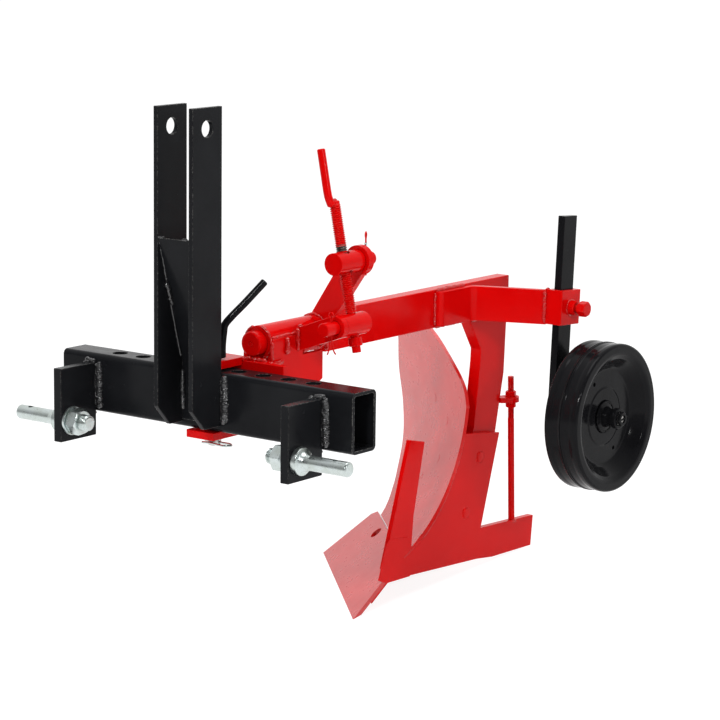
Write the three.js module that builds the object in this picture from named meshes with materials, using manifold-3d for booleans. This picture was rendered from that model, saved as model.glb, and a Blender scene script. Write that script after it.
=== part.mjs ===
// Single-furrow mounted mouldboard plough with a category 1 headstock.
//
// Implement frame, millimetres: +X is the driver's left, +Y points to the rear, +Z up. The zero
// point is the middle of the toolbar, on its front face, level with its underside.
// Body frame: the same axes turned by parkPitch so that +Y lies on the furrow sole; its zero
// point is the share point. The finished plough stands on the sole of the body frame.

import * as THREE from 'three';
import { mergeVertices } from 'three/addons/utils/BufferGeometryUtils.js';
import Module from 'manifold-3d';

const wasm = await Module();
wasm.setup();

// ---------------------------------------------------------------- driving dimensions

const fitGap = 0.3;            // between pieces that touch or are welded
const runningGap = 0.5;        // radial, round a shaft that turns
const endGap = 1.5;            // along a shaft, between turning and standing faces
const roundSides = 32;

// headstock
const barLength = 560;
const barDepth = 56;
const barHeight = 90;
const barWall = 5;
const barCorner = 8;
const hitchHoles = 9;
const hitchPitch = 47;
const hitchHoleClearance = 2.5; // on the pin's diameter

const mastGap = 59;
const mastThickness = 8;
const mastWidth = 66;
const mastTop = 484;
const mastBottom = 11;
const mastChamferWidth = 28;
const mastChamferHeight = 31;
const topLinkHoleDiameter = 25;
const topLinkDrop = 31;        // hole centre below the top of the mast
const braceTop = 293;
const braceKnee = 106;
const braceKneeDepth = 12;
const braceThickness = 8;
const braceBottom = 15;

const linkPlateInset = 212;    // inner face from the middle
const linkPlateThickness = 15;
const linkPlateReach = 79;
const linkPlateTop = 77;
const linkPlateBottom = -36;
const lowerPinDiameter = 22;
const lowerPinReach = 319;     // pin end from the middle
const lowerPinForward = 56;
const lowerPinHeight = -5;
const pinChamfer = 2;
const pinFlangeDiameter = 41;
const pinFlangeThickness = 9;
const pinTaperLength = 15;
const pinThreadDiameter = 24;
const pinThreadLength = 53;
const pinNutAcross = 36;
const pinNutThickness = 20;
const washerDiameter = 44;
const washerThickness = 4;
const linchHoleDiameter = 10;
const linchHoleInset = 24;

// yoke that clasps the toolbar
const yokeWidth = 52;
const yokePlate = 12;
const yokeSlackAbove = 3;
const yokeSlackBelow = 1;
const yokeTopFront = 2;
const yokeBottomFront = -6;
const backPlateGap = 5;
const backPlateThickness = 10;
const backPlateWidth = 210;
const hitchPinDiameter = 21.5;
const hitchPinBelow = 14;      // below the lower yoke plate
const hitchPinAbove = 16;      // above the upper yoke plate
const handleDiameter = 11.5;
const clipWire = 3.6;
const clipHoleDiameter = 5;

// roll pivot of the beam
const pivotX = 35;
const pivotRise = 34.5;        // above the toolbar
const sleeveDiameter = 51;
const sleeveStart = 88;
const sleeveEnd = 204;
const shaftDiameter = 30;
const collarDiameter = 37;
const collarLength = 18;
const hubDiameter = 50;
const cheekThickness = 10;
const cheekSkin = 3.5;         // cheek metal left outside the sleeve
const cheekTopRise = 42;       // above the toolbar
const cheekShelfRise = 10;
const cheekRear = 209;
const cheekHighRear = 160;
const cheekLow = 50;

// tilt screw and its two trunnions
const lowerTrunnionX = 134.5;
const lowerTrunnionRise = 25.5; // above the roll pivot
const upperTrunnionX = 116;
const upperTrunnionRise = 117;
const screwY = 190;
const trunnionDiameter = 34;
const trunnionLength = 58;
const shankDiameter = 21;
const lowerShankLength = 41;
const upperShankLength = 37;
const lugStart = 146;
const lugThickness = 11;
const lugEndRadius = 18;
const lugBaseDrop = 17.5;      // below the roll pivot
const lugBaseRise = 18.5;
const armPlateStart = 224;
const armPlateThickness = 12;
const armHeadRadius = 23;
const screwDiameter = 18;
const screwEndDiameter = 13.5;
const screwAbove = 94;         // beyond the upper trunnion's axis
const screwBelow = 43;         // beyond the lower trunnion's axis
const screwPlay = 2.5;         // radial, in the upper trunnion
const crankDiameter = 12.5;
const crankLength = 79.5;
const crankOverlap = 8;
const cotterDiameter = 4;
const lowerCotterAbove = 18.5; // from the shank's axis
const lowerCotterBelow = 40;
const upperCotterAbove = 30;
const upperCotterBelow = 26;
const cotterSetback = 9;       // from the plate it guards

// beam and gauge wheel carrier
const beamWidth = 25;
const beamHeight = 63;
const beamDrop = 33.5;         // underside below the roll pivot
const beamEnd = 738;
const armThickness = 12;
const armHeight = 57;
const armSill = 3;             // above the beam's underside
const armStart = 524;
const armBend = 613;
const armSweep = 21;           // degrees behind square
const postThickness = 13;
const postWidth = 37;
const postGap = 1;
const postX = 190;
const postY = 684;
const postRake = 3.3;          // degrees
const postTop = 149;           // above the middle of the socket
const postFoot = 26;           // below the axle
const socketWall = 8;
const bossDiameter = 24;
const bossLength = 12;
const clampDiameter = 14;
const clampNeck = 6;
const clampHeadDiameter = 26;
const clampHeadLength = 15;
const axleDrop = 170;          // below the middle of the socket
const axleDiameter = 20;
const axleShoulder = 32;
const wheelCentreX = 274;
const wheelDiameter = 243;
const wheelWidth = 62;
const wheelWall = 3;
const wheelRib = 2.5;
const wheelRimBead = 11;        // width of the raised edge of the tread
const wheelFace = 15;           // flat ring of the face
const wheelBowl = 41;           // from the edge of the tread to the flat disc
const wheelDish = 24;
const wheelHubDiameter = 34;
const wheelHubLength = 76;
const axleProud = 4;            // beyond the hub

// leg
const legWidth = 21;
const legRear = 733;
const legFront = 658;
const legKnee = 38;
const legGusset = 624;
const legFoot = -250;
const legFootFront = 590;
const legFootRear = 650;

// plough body, in the body frame
const parkPitch = 2.6;         // degrees between beam and sole
const sharePointY = 298;
const sharePointZ = -346;
const landsideX = 60;
const landsideThickness = 12;
const furrowWidth = 268;
const shareAngle = 45;         // between cutting edge and travel, degrees
const shareSlope = 37.5;       // degrees
const shareDepth = 118;        // up its slope
const shareThickness = 8;
const shareBevel = 14;
const shareCorner = 12;
const shareHoleDiameter = 22;
const shareHoleDrop = 20;      // from the upper edge
const shareHoleInset = 101;    // from the wing
const boardThickness = 6;
const boardTwist = 11;         // degrees over boardTwistHeight
const boardTwistHeight = 200;
const boardReach = 267;        // wing from the landside
const boardCrown = 402;
const shinTop = 283;
const shinRadius = 267;
const shinCentreY = 52.5;
const shinCentreZ = 326;
const knifeTopY = 159;
const knifeTopZ = 259;
const knifeWidth = 40;
const knifeThickness = 8;
const heelRear = 506;
const heelHeight = 52;
const frogThickness = 10;
const frogReach = 140;         // from the landside
const frogUpper = 262;
const frogLower = 135;
const stayDiameter = 11;
const stayY = 456;
const stayTop = 307;
const stayLugZ = 268;
const stayLugThickness = 9;
const stayLugRadius = 14;
const stayLugBase = 435.5;

// ---------------------------------------------------------------- derived positions

const degrees = THREE.MathUtils.degToRad;
const mastInner = mastGap / 2;
const linkPlateOuter = linkPlateInset + linkPlateThickness;
const hitchHoleDiameter = hitchPinDiameter + hitchHoleClearance;
const yokeTopZ = barHeight + yokeSlackAbove;
const yokeBottomZ = -yokePlate - yokeSlackBelow;
const hitchPinY = barDepth / 2;
const backPlateFront = barDepth + backPlateGap;
const backPlateRear = backPlateFront + backPlateThickness;
const backPlateBottom = yokeBottomZ + yokePlate / 3;
const cheekOuter = sleeveDiameter / 2 + cheekSkin;
const cheekTop = barHeight + cheekTopRise;
const cheekShelf = barHeight + cheekShelfRise;
const pivotZ = barHeight + pivotRise;
const lowerTrunnionZ = pivotZ + lowerTrunnionRise;
const upperTrunnionZ = pivotZ + upperTrunnionRise;
const lugBaseLow = pivotZ - lugBaseDrop;
const lugBaseHigh = pivotZ + lugBaseRise;
const beamBottom = pivotZ - beamDrop;
const armBottom = beamBottom + armSill;
const lugRear = lugStart + lugThickness;
const lowerBarrelFront = lugRear + endGap;
const upperBarrelRear = armPlateStart - endGap;
const hubFront = sleeveEnd + endGap;
const armPlateRear = armPlateStart + armPlateThickness;
const beamLeft = pivotX + beamWidth / 2;
const beamTop = beamBottom + beamHeight;
const landsideInner = landsideX - landsideThickness;
const legLeft = landsideInner - fitGap;
const legRight = legLeft - legWidth;
const screwLean = Math.atan2(lowerTrunnionX - upperTrunnionX, upperTrunnionZ - lowerTrunnionZ);
const screwSpan = Math.hypot(lowerTrunnionX - upperTrunnionX, upperTrunnionZ - lowerTrunnionZ);
const socketZ = armBottom + armHeight / 2;
const socketHalfX = postThickness / 2 + postGap + socketWall;
const wheelOffset = wheelCentreX - postX;
const boardFoot = shareDepth * Math.sin(degrees(shareSlope));

// ---------------------------------------------------------------- solids

function at(x, y, z) {
  return new THREE.Vector3(x, y, z);
}

function toSolid(geometry) {
  geometry.deleteAttribute('normal');
  geometry.deleteAttribute('uv');
  const welded = mergeVertices(geometry, 1e-4);
  const corners = welded.index.array;
  const triangles = [];
  for (let i = 0; i < corners.length; i += 3) {
    const [a, b, c] = corners.slice(i, i + 3);
    if (a !== b && b !== c && c !== a) {
      triangles.push(a, b, c);
    }
  }
  return new wasm.Manifold(new wasm.Mesh({
    numProp: 3,
    vertProperties: Float32Array.from(welded.attributes.position.array),
    triVerts: Uint32Array.from(triangles),
  }));
}

// As toSolid, for a surface whose faces may point inward.
function toOutwardSolid(geometry) {
  const solid = toSolid(geometry.clone());
  if (solid.volume() > 0) {
    return solid;
  }
  const inward = geometry.clone();
  const index = inward.index.array;
  for (let i = 0; i < index.length; i += 3) {
    [index[i], index[i + 1]] = [index[i + 1], index[i]];
  }
  return toSolid(inward);
}

function toGeometry(solid) {
  const mesh = solid.getMesh();
  const geometry = new THREE.BufferGeometry();
  geometry.setAttribute('position', new THREE.BufferAttribute(mesh.vertProperties, 3));
  geometry.setIndex(new THREE.BufferAttribute(mesh.triVerts, 1));
  return geometry;
}

function block(x0, x1, y0, y1, z0, z1) {
  const geometry = new THREE.BoxGeometry(x1 - x0, y1 - y0, z1 - z0);
  geometry.translate((x0 + x1) / 2, (y0 + y1) / 2, (z0 + z1) / 2);
  return toSolid(geometry);
}

// Straight round bar between two points.
function bar(from, to, diameter, sides = roundSides) {
  const axis = new THREE.Vector3().subVectors(to, from);
  const geometry = new THREE.CylinderGeometry(diameter / 2, diameter / 2, axis.length(), sides);
  geometry.applyQuaternion(
    new THREE.Quaternion().setFromUnitVectors(at(0, 1, 0), axis.normalize()));
  geometry.translate((from.x + to.x) / 2, (from.y + to.y) / 2, (from.z + to.z) / 2);
  return toSolid(geometry);
}

// Turned part: rows of [distance along the axis, radius].
function turned(rows, origin, direction, sides = roundSides) {
  const profile = rows.map(([along, radius]) => new THREE.Vector2(radius, along));
  const geometry = new THREE.LatheGeometry(profile, sides);
  geometry.applyQuaternion(new THREE.Quaternion().setFromUnitVectors(at(0, 1, 0), direction));
  geometry.translate(origin.x, origin.y, origin.z);
  return toOutwardSolid(geometry);
}

function outline(points) {
  return new THREE.Shape(points.map(([a, b]) => new THREE.Vector2(a, b)));
}

function extrude(shape, depth) {
  return new THREE.ExtrudeGeometry(shape, { depth, bevelEnabled: false, curveSegments: 10 });
}

// Plate with its outline in (y, z) that fills x0 to x1.
function plateSideways(shape, x0, x1) {
  const geometry = extrude(shape, x1 - x0);
  geometry.applyMatrix4(
    new THREE.Matrix4().makeBasis(at(0, 1, 0), at(0, 0, 1), at(1, 0, 0)));
  geometry.translate(x0, 0, 0);
  return toSolid(geometry);
}

// Plate with its outline in (x, z) that fills y0 to y1.
function plateAcross(shape, y0, y1) {
  const geometry = extrude(shape, y1 - y0);
  geometry.rotateX(Math.PI / 2);
  geometry.translate(0, y1, 0);
  return toSolid(geometry);
}

// Plate with its outline in (x, y) that fills z0 to z1.
function plateFlat(shape, z0, z1) {
  const geometry = extrude(shape, z1 - z0);
  geometry.translate(0, 0, z0);
  return toSolid(geometry);
}

// Round rod bent through a row of points.
function bentRod(points, diameter, sides = 12) {
  const section = new THREE.Shape();
  section.absarc(0, 0, diameter / 2, 0, Math.PI * 2);
  return toSolid(new THREE.ExtrudeGeometry(section, {
    steps: points.length * 4,
    curveSegments: sides,
    bevelEnabled: false,
    extrudePath: new THREE.CatmullRomCurve3(points, false, 'centripetal'),
  }));
}

// ---------------------------------------------------------------- headstock

function roundedBox(y0, y1, z0, z1, radius) {
  const shape = new THREE.Shape();
  shape.absarc(y1 - radius, z1 - radius, radius, 0, Math.PI / 2);
  shape.absarc(y0 + radius, z1 - radius, radius, Math.PI / 2, Math.PI);
  shape.absarc(y0 + radius, z0 + radius, radius, Math.PI, Math.PI * 1.5);
  shape.absarc(y1 - radius, z0 + radius, radius, Math.PI * 1.5, Math.PI * 2);
  return shape;
}

function makeToolbar() {
  const half = barLength / 2;
  const skin = roundedBox(0, barDepth, 0, barHeight, barCorner);
  const bore = roundedBox(
    barWall, barDepth - barWall, barWall, barHeight - barWall, barCorner - barWall);
  let toolbar = plateSideways(skin, -half, half)
    .subtract(plateSideways(bore, -half - 1, half + 1));
  for (let i = 0; i < hitchHoles; i += 1) {
    const x = (i - (hitchHoles - 1) / 2) * hitchPitch;
    toolbar = toolbar.subtract(
      bar(at(x, hitchPinY, -1), at(x, hitchPinY, barHeight + 1), hitchHoleDiameter, 20));
  }
  return toolbar;
}

function makeMastFlat(side) {
  const shape = outline([
    [-mastWidth, mastBottom + mastChamferHeight],
    [-mastWidth + mastChamferWidth, mastBottom],
    [-fitGap, mastBottom],
    [-fitGap, mastTop],
    [-mastWidth, mastTop],
  ]);
  const inner = side > 0 ? mastInner : -mastInner - mastThickness;
  const outer = inner + mastThickness;
  const z = mastTop - topLinkDrop;
  return plateSideways(shape, inner, outer).subtract(
    bar(at(inner - 1, -mastWidth / 2, z), at(outer + 1, -mastWidth / 2, z),
      topLinkHoleDiameter));
}

function makeMastBrace() {
  return plateSideways(outline([
    [-braceKneeDepth, braceBottom],
    [-fitGap, braceBottom],
    [-fitGap, braceKnee],
    [-mastWidth + braceThickness, braceTop],
    [-mastWidth, braceTop],
    [-braceKneeDepth, braceKnee],
  ]), -mastInner + fitGap, mastInner - fitGap);
}

function linkPinAxis(x) {
  return at(x, -lowerPinForward, lowerPinHeight);
}

function linkPinBore(side, diameter) {
  return bar(linkPinAxis(side), linkPinAxis(side * barLength), diameter);
}

function makeLinkPlate(side) {
  const inner = side > 0 ? linkPlateInset : -linkPlateOuter;
  return block(
    inner, inner + linkPlateThickness, -linkPlateReach, -fitGap, linkPlateBottom, linkPlateTop)
    .subtract(linkPinBore(side, pinThreadDiameter + 2 * fitGap));
}

function makeLinkPin(side) {
  const flangeStart = linkPlateOuter + fitGap;
  const taperStart = flangeStart + pinFlangeThickness;
  const threadEnd = linkPlateOuter - pinThreadLength;
  const pin = turned([
    [threadEnd, 0],
    [threadEnd, pinThreadDiameter / 2],
    [flangeStart, pinThreadDiameter / 2],
    [flangeStart, pinFlangeDiameter / 2],
    [taperStart, pinFlangeDiameter / 2],
    [taperStart + pinTaperLength, lowerPinDiameter / 2],
    [lowerPinReach - pinChamfer, lowerPinDiameter / 2],
    [lowerPinReach, lowerPinDiameter / 2 - pinChamfer],
    [lowerPinReach, 0],
  ], linkPinAxis(0), at(side, 0, 0));
  const hole = linkPinAxis(side * (lowerPinReach - linchHoleInset));
  const drop = at(0, 0, lowerPinDiameter);
  return pin.subtract(
    bar(hole.clone().sub(drop), hole.clone().add(drop), linchHoleDiameter, 16));
}

function makePinNut(side) {
  const washerFace = linkPlateInset - fitGap;
  const nutFace = washerFace - washerThickness;
  const corner = pinNutAcross / Math.cos(Math.PI / 6);
  return bar(linkPinAxis(side * (nutFace - pinNutThickness)), linkPinAxis(side * nutFace),
    corner, 6)
    .add(bar(linkPinAxis(side * nutFace), linkPinAxis(side * washerFace), washerDiameter))
    .subtract(linkPinBore(side, pinThreadDiameter + 2 * fitGap));
}

// ---------------------------------------------------------------- yoke

function hitchPinBore() {
  return bar(at(0, hitchPinY, 2 * yokeBottomZ), at(0, hitchPinY, 2 * yokeTopZ),
    hitchPinDiameter + 2 * runningGap);
}

function makeYokeTopPlate() {
  return block(-yokeWidth / 2, yokeWidth / 2, yokeTopFront, backPlateRear,
    yokeTopZ, yokeTopZ + yokePlate).subtract(hitchPinBore());
}

function makeYokeBottomPlate() {
  return block(-yokeWidth / 2, yokeWidth / 2, yokeBottomFront, backPlateFront - fitGap,
    yokeBottomZ, yokeBottomZ + yokePlate).subtract(hitchPinBore());
}

function makeYokeBackPlate() {
  const half = backPlateWidth / 2;
  const notch = yokeWidth / 2 + fitGap;
  const sill = yokeTopZ - fitGap;
  return plateAcross(outline([
    [-half, backPlateBottom],
    [half, backPlateBottom],
    [half, cheekShelf],
    [notch, cheekShelf],
    [notch, sill],
    [-notch, sill],
    [-notch, cheekShelf],
    [-half, cheekShelf],
  ]), backPlateFront, backPlateRear);
}

function makeYokeCheek(side) {
  const front = backPlateRear + fitGap;
  const chamfer = 12;
  const shape = outline([
    [front, backPlateBottom],
    [cheekRear - chamfer, cheekLow],
    [cheekRear, cheekLow + chamfer / 2],
    [cheekRear, cheekShelf],
    [cheekHighRear, cheekShelf],
    [cheekHighRear, cheekTop],
    [sleeveStart, cheekTop],
    [sleeveStart, cheekShelf],
    [front, cheekShelf],
  ]);
  const inner = side > 0
    ? pivotX + cheekOuter - cheekThickness
    : pivotX - cheekOuter;
  return plateSideways(shape, inner, inner + cheekThickness)
    .subtract(bar(at(pivotX, 0, pivotZ), at(pivotX, 2 * cheekRear, pivotZ),
      sleeveDiameter + 2 * fitGap));
}

function makePivotSleeve() {
  return bar(at(pivotX, sleeveStart, pivotZ), at(pivotX, sleeveEnd, pivotZ), sleeveDiameter)
    .subtract(bar(at(pivotX, 0, pivotZ), at(pivotX, 2 * sleeveEnd, pivotZ),
      shaftDiameter + 2 * runningGap));
}

function makeSwivelLug() {
  const base = pivotX + cheekOuter + fitGap;
  const shape = new THREE.Shape();
  shape.moveTo(base, lugBaseHigh);
  shape.lineTo(base, lugBaseLow);
  shape.absarc(lowerTrunnionX, lowerTrunnionZ, lugEndRadius, degrees(-52), degrees(110), false);
  shape.closePath();
  return plateAcross(shape, lugStart, lugRear).subtract(
    bar(at(lowerTrunnionX, 0, lowerTrunnionZ), at(lowerTrunnionX, 2 * lugRear, lowerTrunnionZ),
      shankDiameter + 2 * runningGap));
}

function makeHitchPin() {
  const foot = yokeBottomZ - hitchPinBelow;
  const shoulder = yokeTopZ + yokePlate;
  const side = (hitchPinDiameter + handleDiameter) / 2 - 1.5;
  const handle = bentRod([
    at(side, hitchPinY, shoulder + 2),
    at(side, hitchPinY, shoulder + 36),
    at(side + 5, hitchPinY + 6, shoulder + 56),
    at(side + 30, hitchPinY + 40, shoulder + 110),
    at(side + 36, hitchPinY + 48, shoulder + 123),
  ], handleDiameter);
  return bar(at(0, hitchPinY, foot), at(0, hitchPinY, shoulder + hitchPinAbove),
    hitchPinDiameter)
    .add(handle)
    .subtract(bar(at(-barDepth, hitchPinY, foot + clipHoleDiameter),
      at(barDepth, hitchPinY, foot + clipHoleDiameter), clipHoleDiameter, 12));
}

function makeHitchPinClip() {
  const z = yokeBottomZ - hitchPinBelow + clipHoleDiameter;
  const radius = hitchPinDiameter / 2;
  return bentRod([
    at(-radius - 7, hitchPinY, z),
    at(0, hitchPinY, z),
    at(radius + 6, hitchPinY, z),
    at(radius + 20, hitchPinY, z),
    at(radius + 28, hitchPinY - 8, z),
    at(radius + 20, hitchPinY - 16, z),
    at(radius, hitchPinY - 15, z),
    at(-radius, hitchPinY - 16, z),
  ], clipWire, 8);
}

// ---------------------------------------------------------------- roll pivot and tilt screw

function makePivotShaft() {
  const collarEnd = sleeveStart - 1;
  const collarStart = collarEnd - collarLength;
  return turned([
    [collarStart, 0],
    [collarStart, collarDiameter / 2 - 2],
    [collarStart + 2, collarDiameter / 2],
    [collarEnd, collarDiameter / 2],
    [collarEnd, shaftDiameter / 2],
    [armPlateRear, shaftDiameter / 2],
    [armPlateRear, 0],
  ], at(pivotX, 0, pivotZ), at(0, 1, 0));
}

function makeTiltArm() {
  const shape = new THREE.Shape();
  shape.absarc(pivotX, pivotZ, hubDiameter / 2, degrees(110), degrees(390), false);
  shape.lineTo(upperTrunnionX - 33, upperTrunnionZ - 79);
  shape.absarc(upperTrunnionX, upperTrunnionZ, armHeadRadius, degrees(-70), degrees(150), false);
  shape.closePath();
  const hub = bar(at(pivotX, hubFront, pivotZ), at(pivotX, armPlateRear, pivotZ), hubDiameter);
  return plateAcross(shape, armPlateStart, armPlateRear)
    .add(hub)
    .subtract(bar(at(pivotX, 0, pivotZ), at(pivotX, 2 * armPlateRear, pivotZ),
      shaftDiameter + 2 * fitGap))
    .subtract(bar(at(upperTrunnionX, 0, upperTrunnionZ),
      at(upperTrunnionX, 2 * armPlateRear, upperTrunnionZ), shankDiameter + 2 * runningGap));
}

function screwDirection() {
  return at(-Math.sin(screwLean), 0, Math.cos(screwLean));
}

function alongScrew(distance) {
  return screwDirection().multiplyScalar(distance)
    .add(at(lowerTrunnionX, screwY, lowerTrunnionZ));
}

function screwBore(diameter) {
  return bar(alongScrew(-screwSpan), alongScrew(2 * screwSpan), diameter);
}

function cotterBore(x, z, y) {
  return bar(at(x, y, z - shankDiameter), at(x, y, z + shankDiameter), cotterDiameter + 1, 12);
}

function makeLowerTrunnion() {
  const x = lowerTrunnionX;
  const z = lowerTrunnionZ;
  const shankFront = lowerBarrelFront - lowerShankLength;
  return bar(at(x, lowerBarrelFront, z), at(x, lowerBarrelFront + trunnionLength, z),
    trunnionDiameter)
    .add(bar(at(x, shankFront, z), at(x, screwY, z), shankDiameter))
    .subtract(screwBore(screwEndDiameter + 2 * fitGap))
    .subtract(cotterBore(x, z, lugStart - cotterSetback));
}

function makeUpperTrunnion() {
  const x = upperTrunnionX;
  const z = upperTrunnionZ;
  const shankRear = upperBarrelRear + upperShankLength;
  return bar(at(x, upperBarrelRear - trunnionLength, z), at(x, upperBarrelRear, z),
    trunnionDiameter)
    .add(bar(at(x, screwY, z), at(x, shankRear, z), shankDiameter))
    .subtract(screwBore(screwDiameter + 2 * screwPlay))
    .subtract(cotterBore(x, z, armPlateRear + cotterSetback));
}

function makeCotter(x, z, y, above, below) {
  const eye = 2 * cotterDiameter;
  return bar(at(x, y, z - below), at(x, y, z + above), cotterDiameter, 10)
    .add(block(x - eye / 4, x + eye / 4, y - eye, y + eye, z + above - 1, z + above + eye));
}

function makeTiltScrew() {
  const shoulder = trunnionDiameter / 2 + 1;
  const top = screwSpan + screwAbove;
  const beside = at(0, 1.5 - (screwDiameter + crankDiameter) / 2, 0);
  return turned([
    [-screwBelow, 0],
    [-screwBelow, screwEndDiameter / 2],
    [shoulder, screwEndDiameter / 2],
    [shoulder, screwDiameter / 2],
    [top, screwDiameter / 2],
    [top, 0],
  ], alongScrew(0), screwDirection(), 24)
    .add(bar(alongScrew(top - crankOverlap).add(beside),
      alongScrew(top + crankLength).add(beside), crankDiameter, 20));
}

// ---------------------------------------------------------------- beam and gauge wheel

function makeBeam() {
  return block(pivotX - beamWidth / 2, beamLeft, armPlateRear + fitGap, beamEnd,
    beamBottom, beamTop);
}

function makeWheelArm() {
  const back = beamLeft + fitGap;
  const face = back + armThickness;
  const end = postX - socketHalfX - fitGap;
  const sweep = degrees(armSweep);
  const turn = armThickness * Math.tan((Math.PI / 2 - sweep) / 2);
  const endY = armBend + (end - face) * Math.tan(sweep);
  return plateFlat(outline([
    [back, armStart],
    [face, armStart],
    [face, armBend],
    [end, endY],
    [end, endY + armThickness / Math.cos(sweep)],
    [back, armBend + turn],
  ]), armBottom, armBottom + armHeight);
}

// The post, its socket and the axle lie on one raked line through the middle of the socket.
function alongPost(x, height) {
  const rake = degrees(postRake);
  return at(postX + x, postY + height * Math.sin(rake), socketZ + height * Math.cos(rake));
}

function rakedBlock(halfX, halfY, low, high) {
  const geometry = new THREE.BoxGeometry(2 * halfX, 2 * halfY, high - low);
  geometry.translate(0, 0, (low + high) / 2);
  geometry.rotateX(-degrees(postRake));
  geometry.translate(postX, postY, socketZ);
  return toSolid(geometry);
}

function makePostSocket() {
  const halfX = postThickness / 2 + postGap;
  const halfY = postWidth / 2 + postGap;
  const half = armHeight / 2;
  return rakedBlock(socketHalfX, halfY + socketWall, -half, half)
    .add(bar(alongPost(halfX + 1, 0), alongPost(socketHalfX + bossLength, 0), bossDiameter))
    .subtract(rakedBlock(halfX, halfY, -half - 1, half + 1))
    .subtract(bar(alongPost(0, 0), alongPost(2 * wheelOffset, 0), clampDiameter + 2 * fitGap));
}

function makeClampScrew() {
  const head = socketHalfX + bossLength + clampNeck;
  return bar(alongPost(postThickness / 2 + fitGap, 0), alongPost(head + 1, 0), clampDiameter)
    .add(bar(alongPost(head, 0), alongPost(head + clampHeadLength, 0), clampHeadDiameter));
}

function makeWheelPost() {
  return rakedBlock(postThickness / 2, postWidth / 2, -axleDrop - postFoot, postTop)
    .subtract(bar(alongPost(-wheelOffset, -axleDrop), alongPost(wheelOffset, -axleDrop),
      axleDiameter + 2 * fitGap));
}

function makeWheelAxle() {
  const shoulderEnd = wheelOffset - wheelHubLength / 2 - endGap;
  return bar(alongPost(-postThickness, -axleDrop), alongPost(wheelOffset + wheelHubLength / 2 + axleProud,
    -axleDrop), axleDiameter)
    .add(bar(alongPost(postThickness / 2 + fitGap, -axleDrop),
      alongPost(shoulderEnd, -axleDrop), axleShoulder));
}

function makeWheelHub() {
  return bar(alongPost(wheelOffset - wheelHubLength / 2, -axleDrop),
    alongPost(wheelOffset + wheelHubLength / 2, -axleDrop), wheelHubDiameter)
    .subtract(bar(alongPost(0, -axleDrop), alongPost(2 * wheelOffset, -axleDrop),
      axleDiameter + 2 * runningGap));
}

// One pressed half of the wheel; the halves meet at a rib round the middle of the tread.
function makeWheelHalf(side) {
  const rib = wheelDiameter / 2;
  const tread = rib - wheelRib;
  const edge = rib - wheelRib / 5;
  const face = wheelWidth / 2;
  const dish = face - wheelDish;
  const bore = wheelHubDiameter / 2 + fitGap;
  return turned([
    [fitGap, tread - 10],
    [fitGap, rib],
    [wheelRib, rib],
    [wheelRib + 2, tread],
    [face - wheelRimBead - 3, tread],
    [face - wheelRimBead, edge],
    [face - 3, edge],
    [face, edge - 4],
    [face, edge - wheelFace],
    [face - 4, edge - wheelFace - 9],
    [dish + 4, edge - wheelBowl + 3],
    [dish, edge - wheelBowl - 5],
    [dish, bore],
    [dish - wheelWall, bore],
    [dish - wheelWall, edge - wheelBowl - 3.5],
    [dish + 1.6, edge - wheelBowl + 5],
    [face - 6.6, edge - wheelFace - 7.2],
    [face - wheelWall, edge - wheelFace + 0.5],
    [face - wheelWall, edge - 5.5],
    [face - 5, edge - wheelWall],
    [face - wheelRimBead + 1, edge - wheelWall],
    [face - wheelRimBead - 2, tread - wheelWall],
    [wheelRib + 1, tread - wheelWall],
    [wheelRib, tread - 10],
    [fitGap, tread - 10],
  ], alongPost(wheelOffset, -axleDrop), at(side, 0, 0), 48);
}

function makeLeg() {
  return plateSideways(outline([
    [legGusset, beamBottom - fitGap],
    [legFront, legKnee],
    [legFront - 1, legKnee - 20],
    [legFront - 16, legKnee - 128],
    [legFootFront, legFoot],
    [legFootRear, legFoot],
    [legRear - 27, legKnee - 148],
    [legRear - 5, legKnee - 48],
    [legRear, beamBottom - fitGap],
  ]), legRight, legLeft);
}

// ---------------------------------------------------------------- share and mouldboard

// Share sheet, drawn with v up the slope and u along the cutting edge from the point.
function onShare(geometry) {
  const angle = degrees(shareAngle);
  const slope = degrees(shareSlope);
  const edge = at(-Math.sin(angle), Math.cos(angle), 0);
  const up = at(Math.cos(angle) * Math.cos(slope), Math.sin(angle) * Math.cos(slope),
    Math.sin(slope));
  const face = new THREE.Vector3().crossVectors(up, edge);
  geometry.applyMatrix4(new THREE.Matrix4().makeBasis(up, edge, face));
  geometry.translate(landsideX, 0, 0);
  return toSolid(geometry);
}

function circle(x, y, radius, sides) {
  return Array.from({ length: sides }, (_, i) => {
    const turn = (2 * Math.PI * i) / sides;
    return [x + radius * Math.cos(turn), y + radius * Math.sin(turn)];
  });
}

function shareSheet(corners, low, high) {
  const geometry = extrude(outline(corners), high - low);
  geometry.translate(0, 0, low);
  return onShare(geometry);
}

function shareLength() {
  return furrowWidth / Math.sin(degrees(shareAngle));
}

// Full-length blade with its bevelled cutting edge, grown all round by a margin.
function shareBlade(margin) {
  const depth = shareDepth + margin;
  const under = -shareThickness - margin;
  const run = 2 * shareLength();
  const geometry = extrude(outline([
    [-margin, margin],
    [-margin, -margin],
    [shareBevel, under],
    [depth, under],
    [depth, margin],
  ].map(([v, w]) => [v, margin > 0 || v >= 0 ? w : 0])), run);
  geometry.rotateX(Math.PI / 2);
  geometry.translate(0, run - shareLength() / 2, 0);
  return onShare(geometry);
}

function makeShare() {
  const length = shareLength();
  const far = 4 * shareDepth;
  const tip = shareSheet([
    [-far, -far],
    [far, -far],
    [far, length],
    [shareDepth, length - shareCorner],
    [shareDepth - shareCorner, length],
    [-far, length],
  ], -far, far);
  const hole = shareSheet(circle(
    shareDepth - shareHoleDrop, length - shareHoleInset, shareHoleDiameter / 2, 28),
  -2 * shareThickness, shareThickness);
  return shareBlade(0)
    .intersect(tip)
    .subtract(hole)
    .subtract(block(landsideX, landsideX + far, -far, far, -far, far));
}

function shinY(z, outset) {
  return shinCentreY + Math.sqrt((shinRadius + outset) ** 2 - (z - shinCentreZ) ** 2);
}

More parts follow.
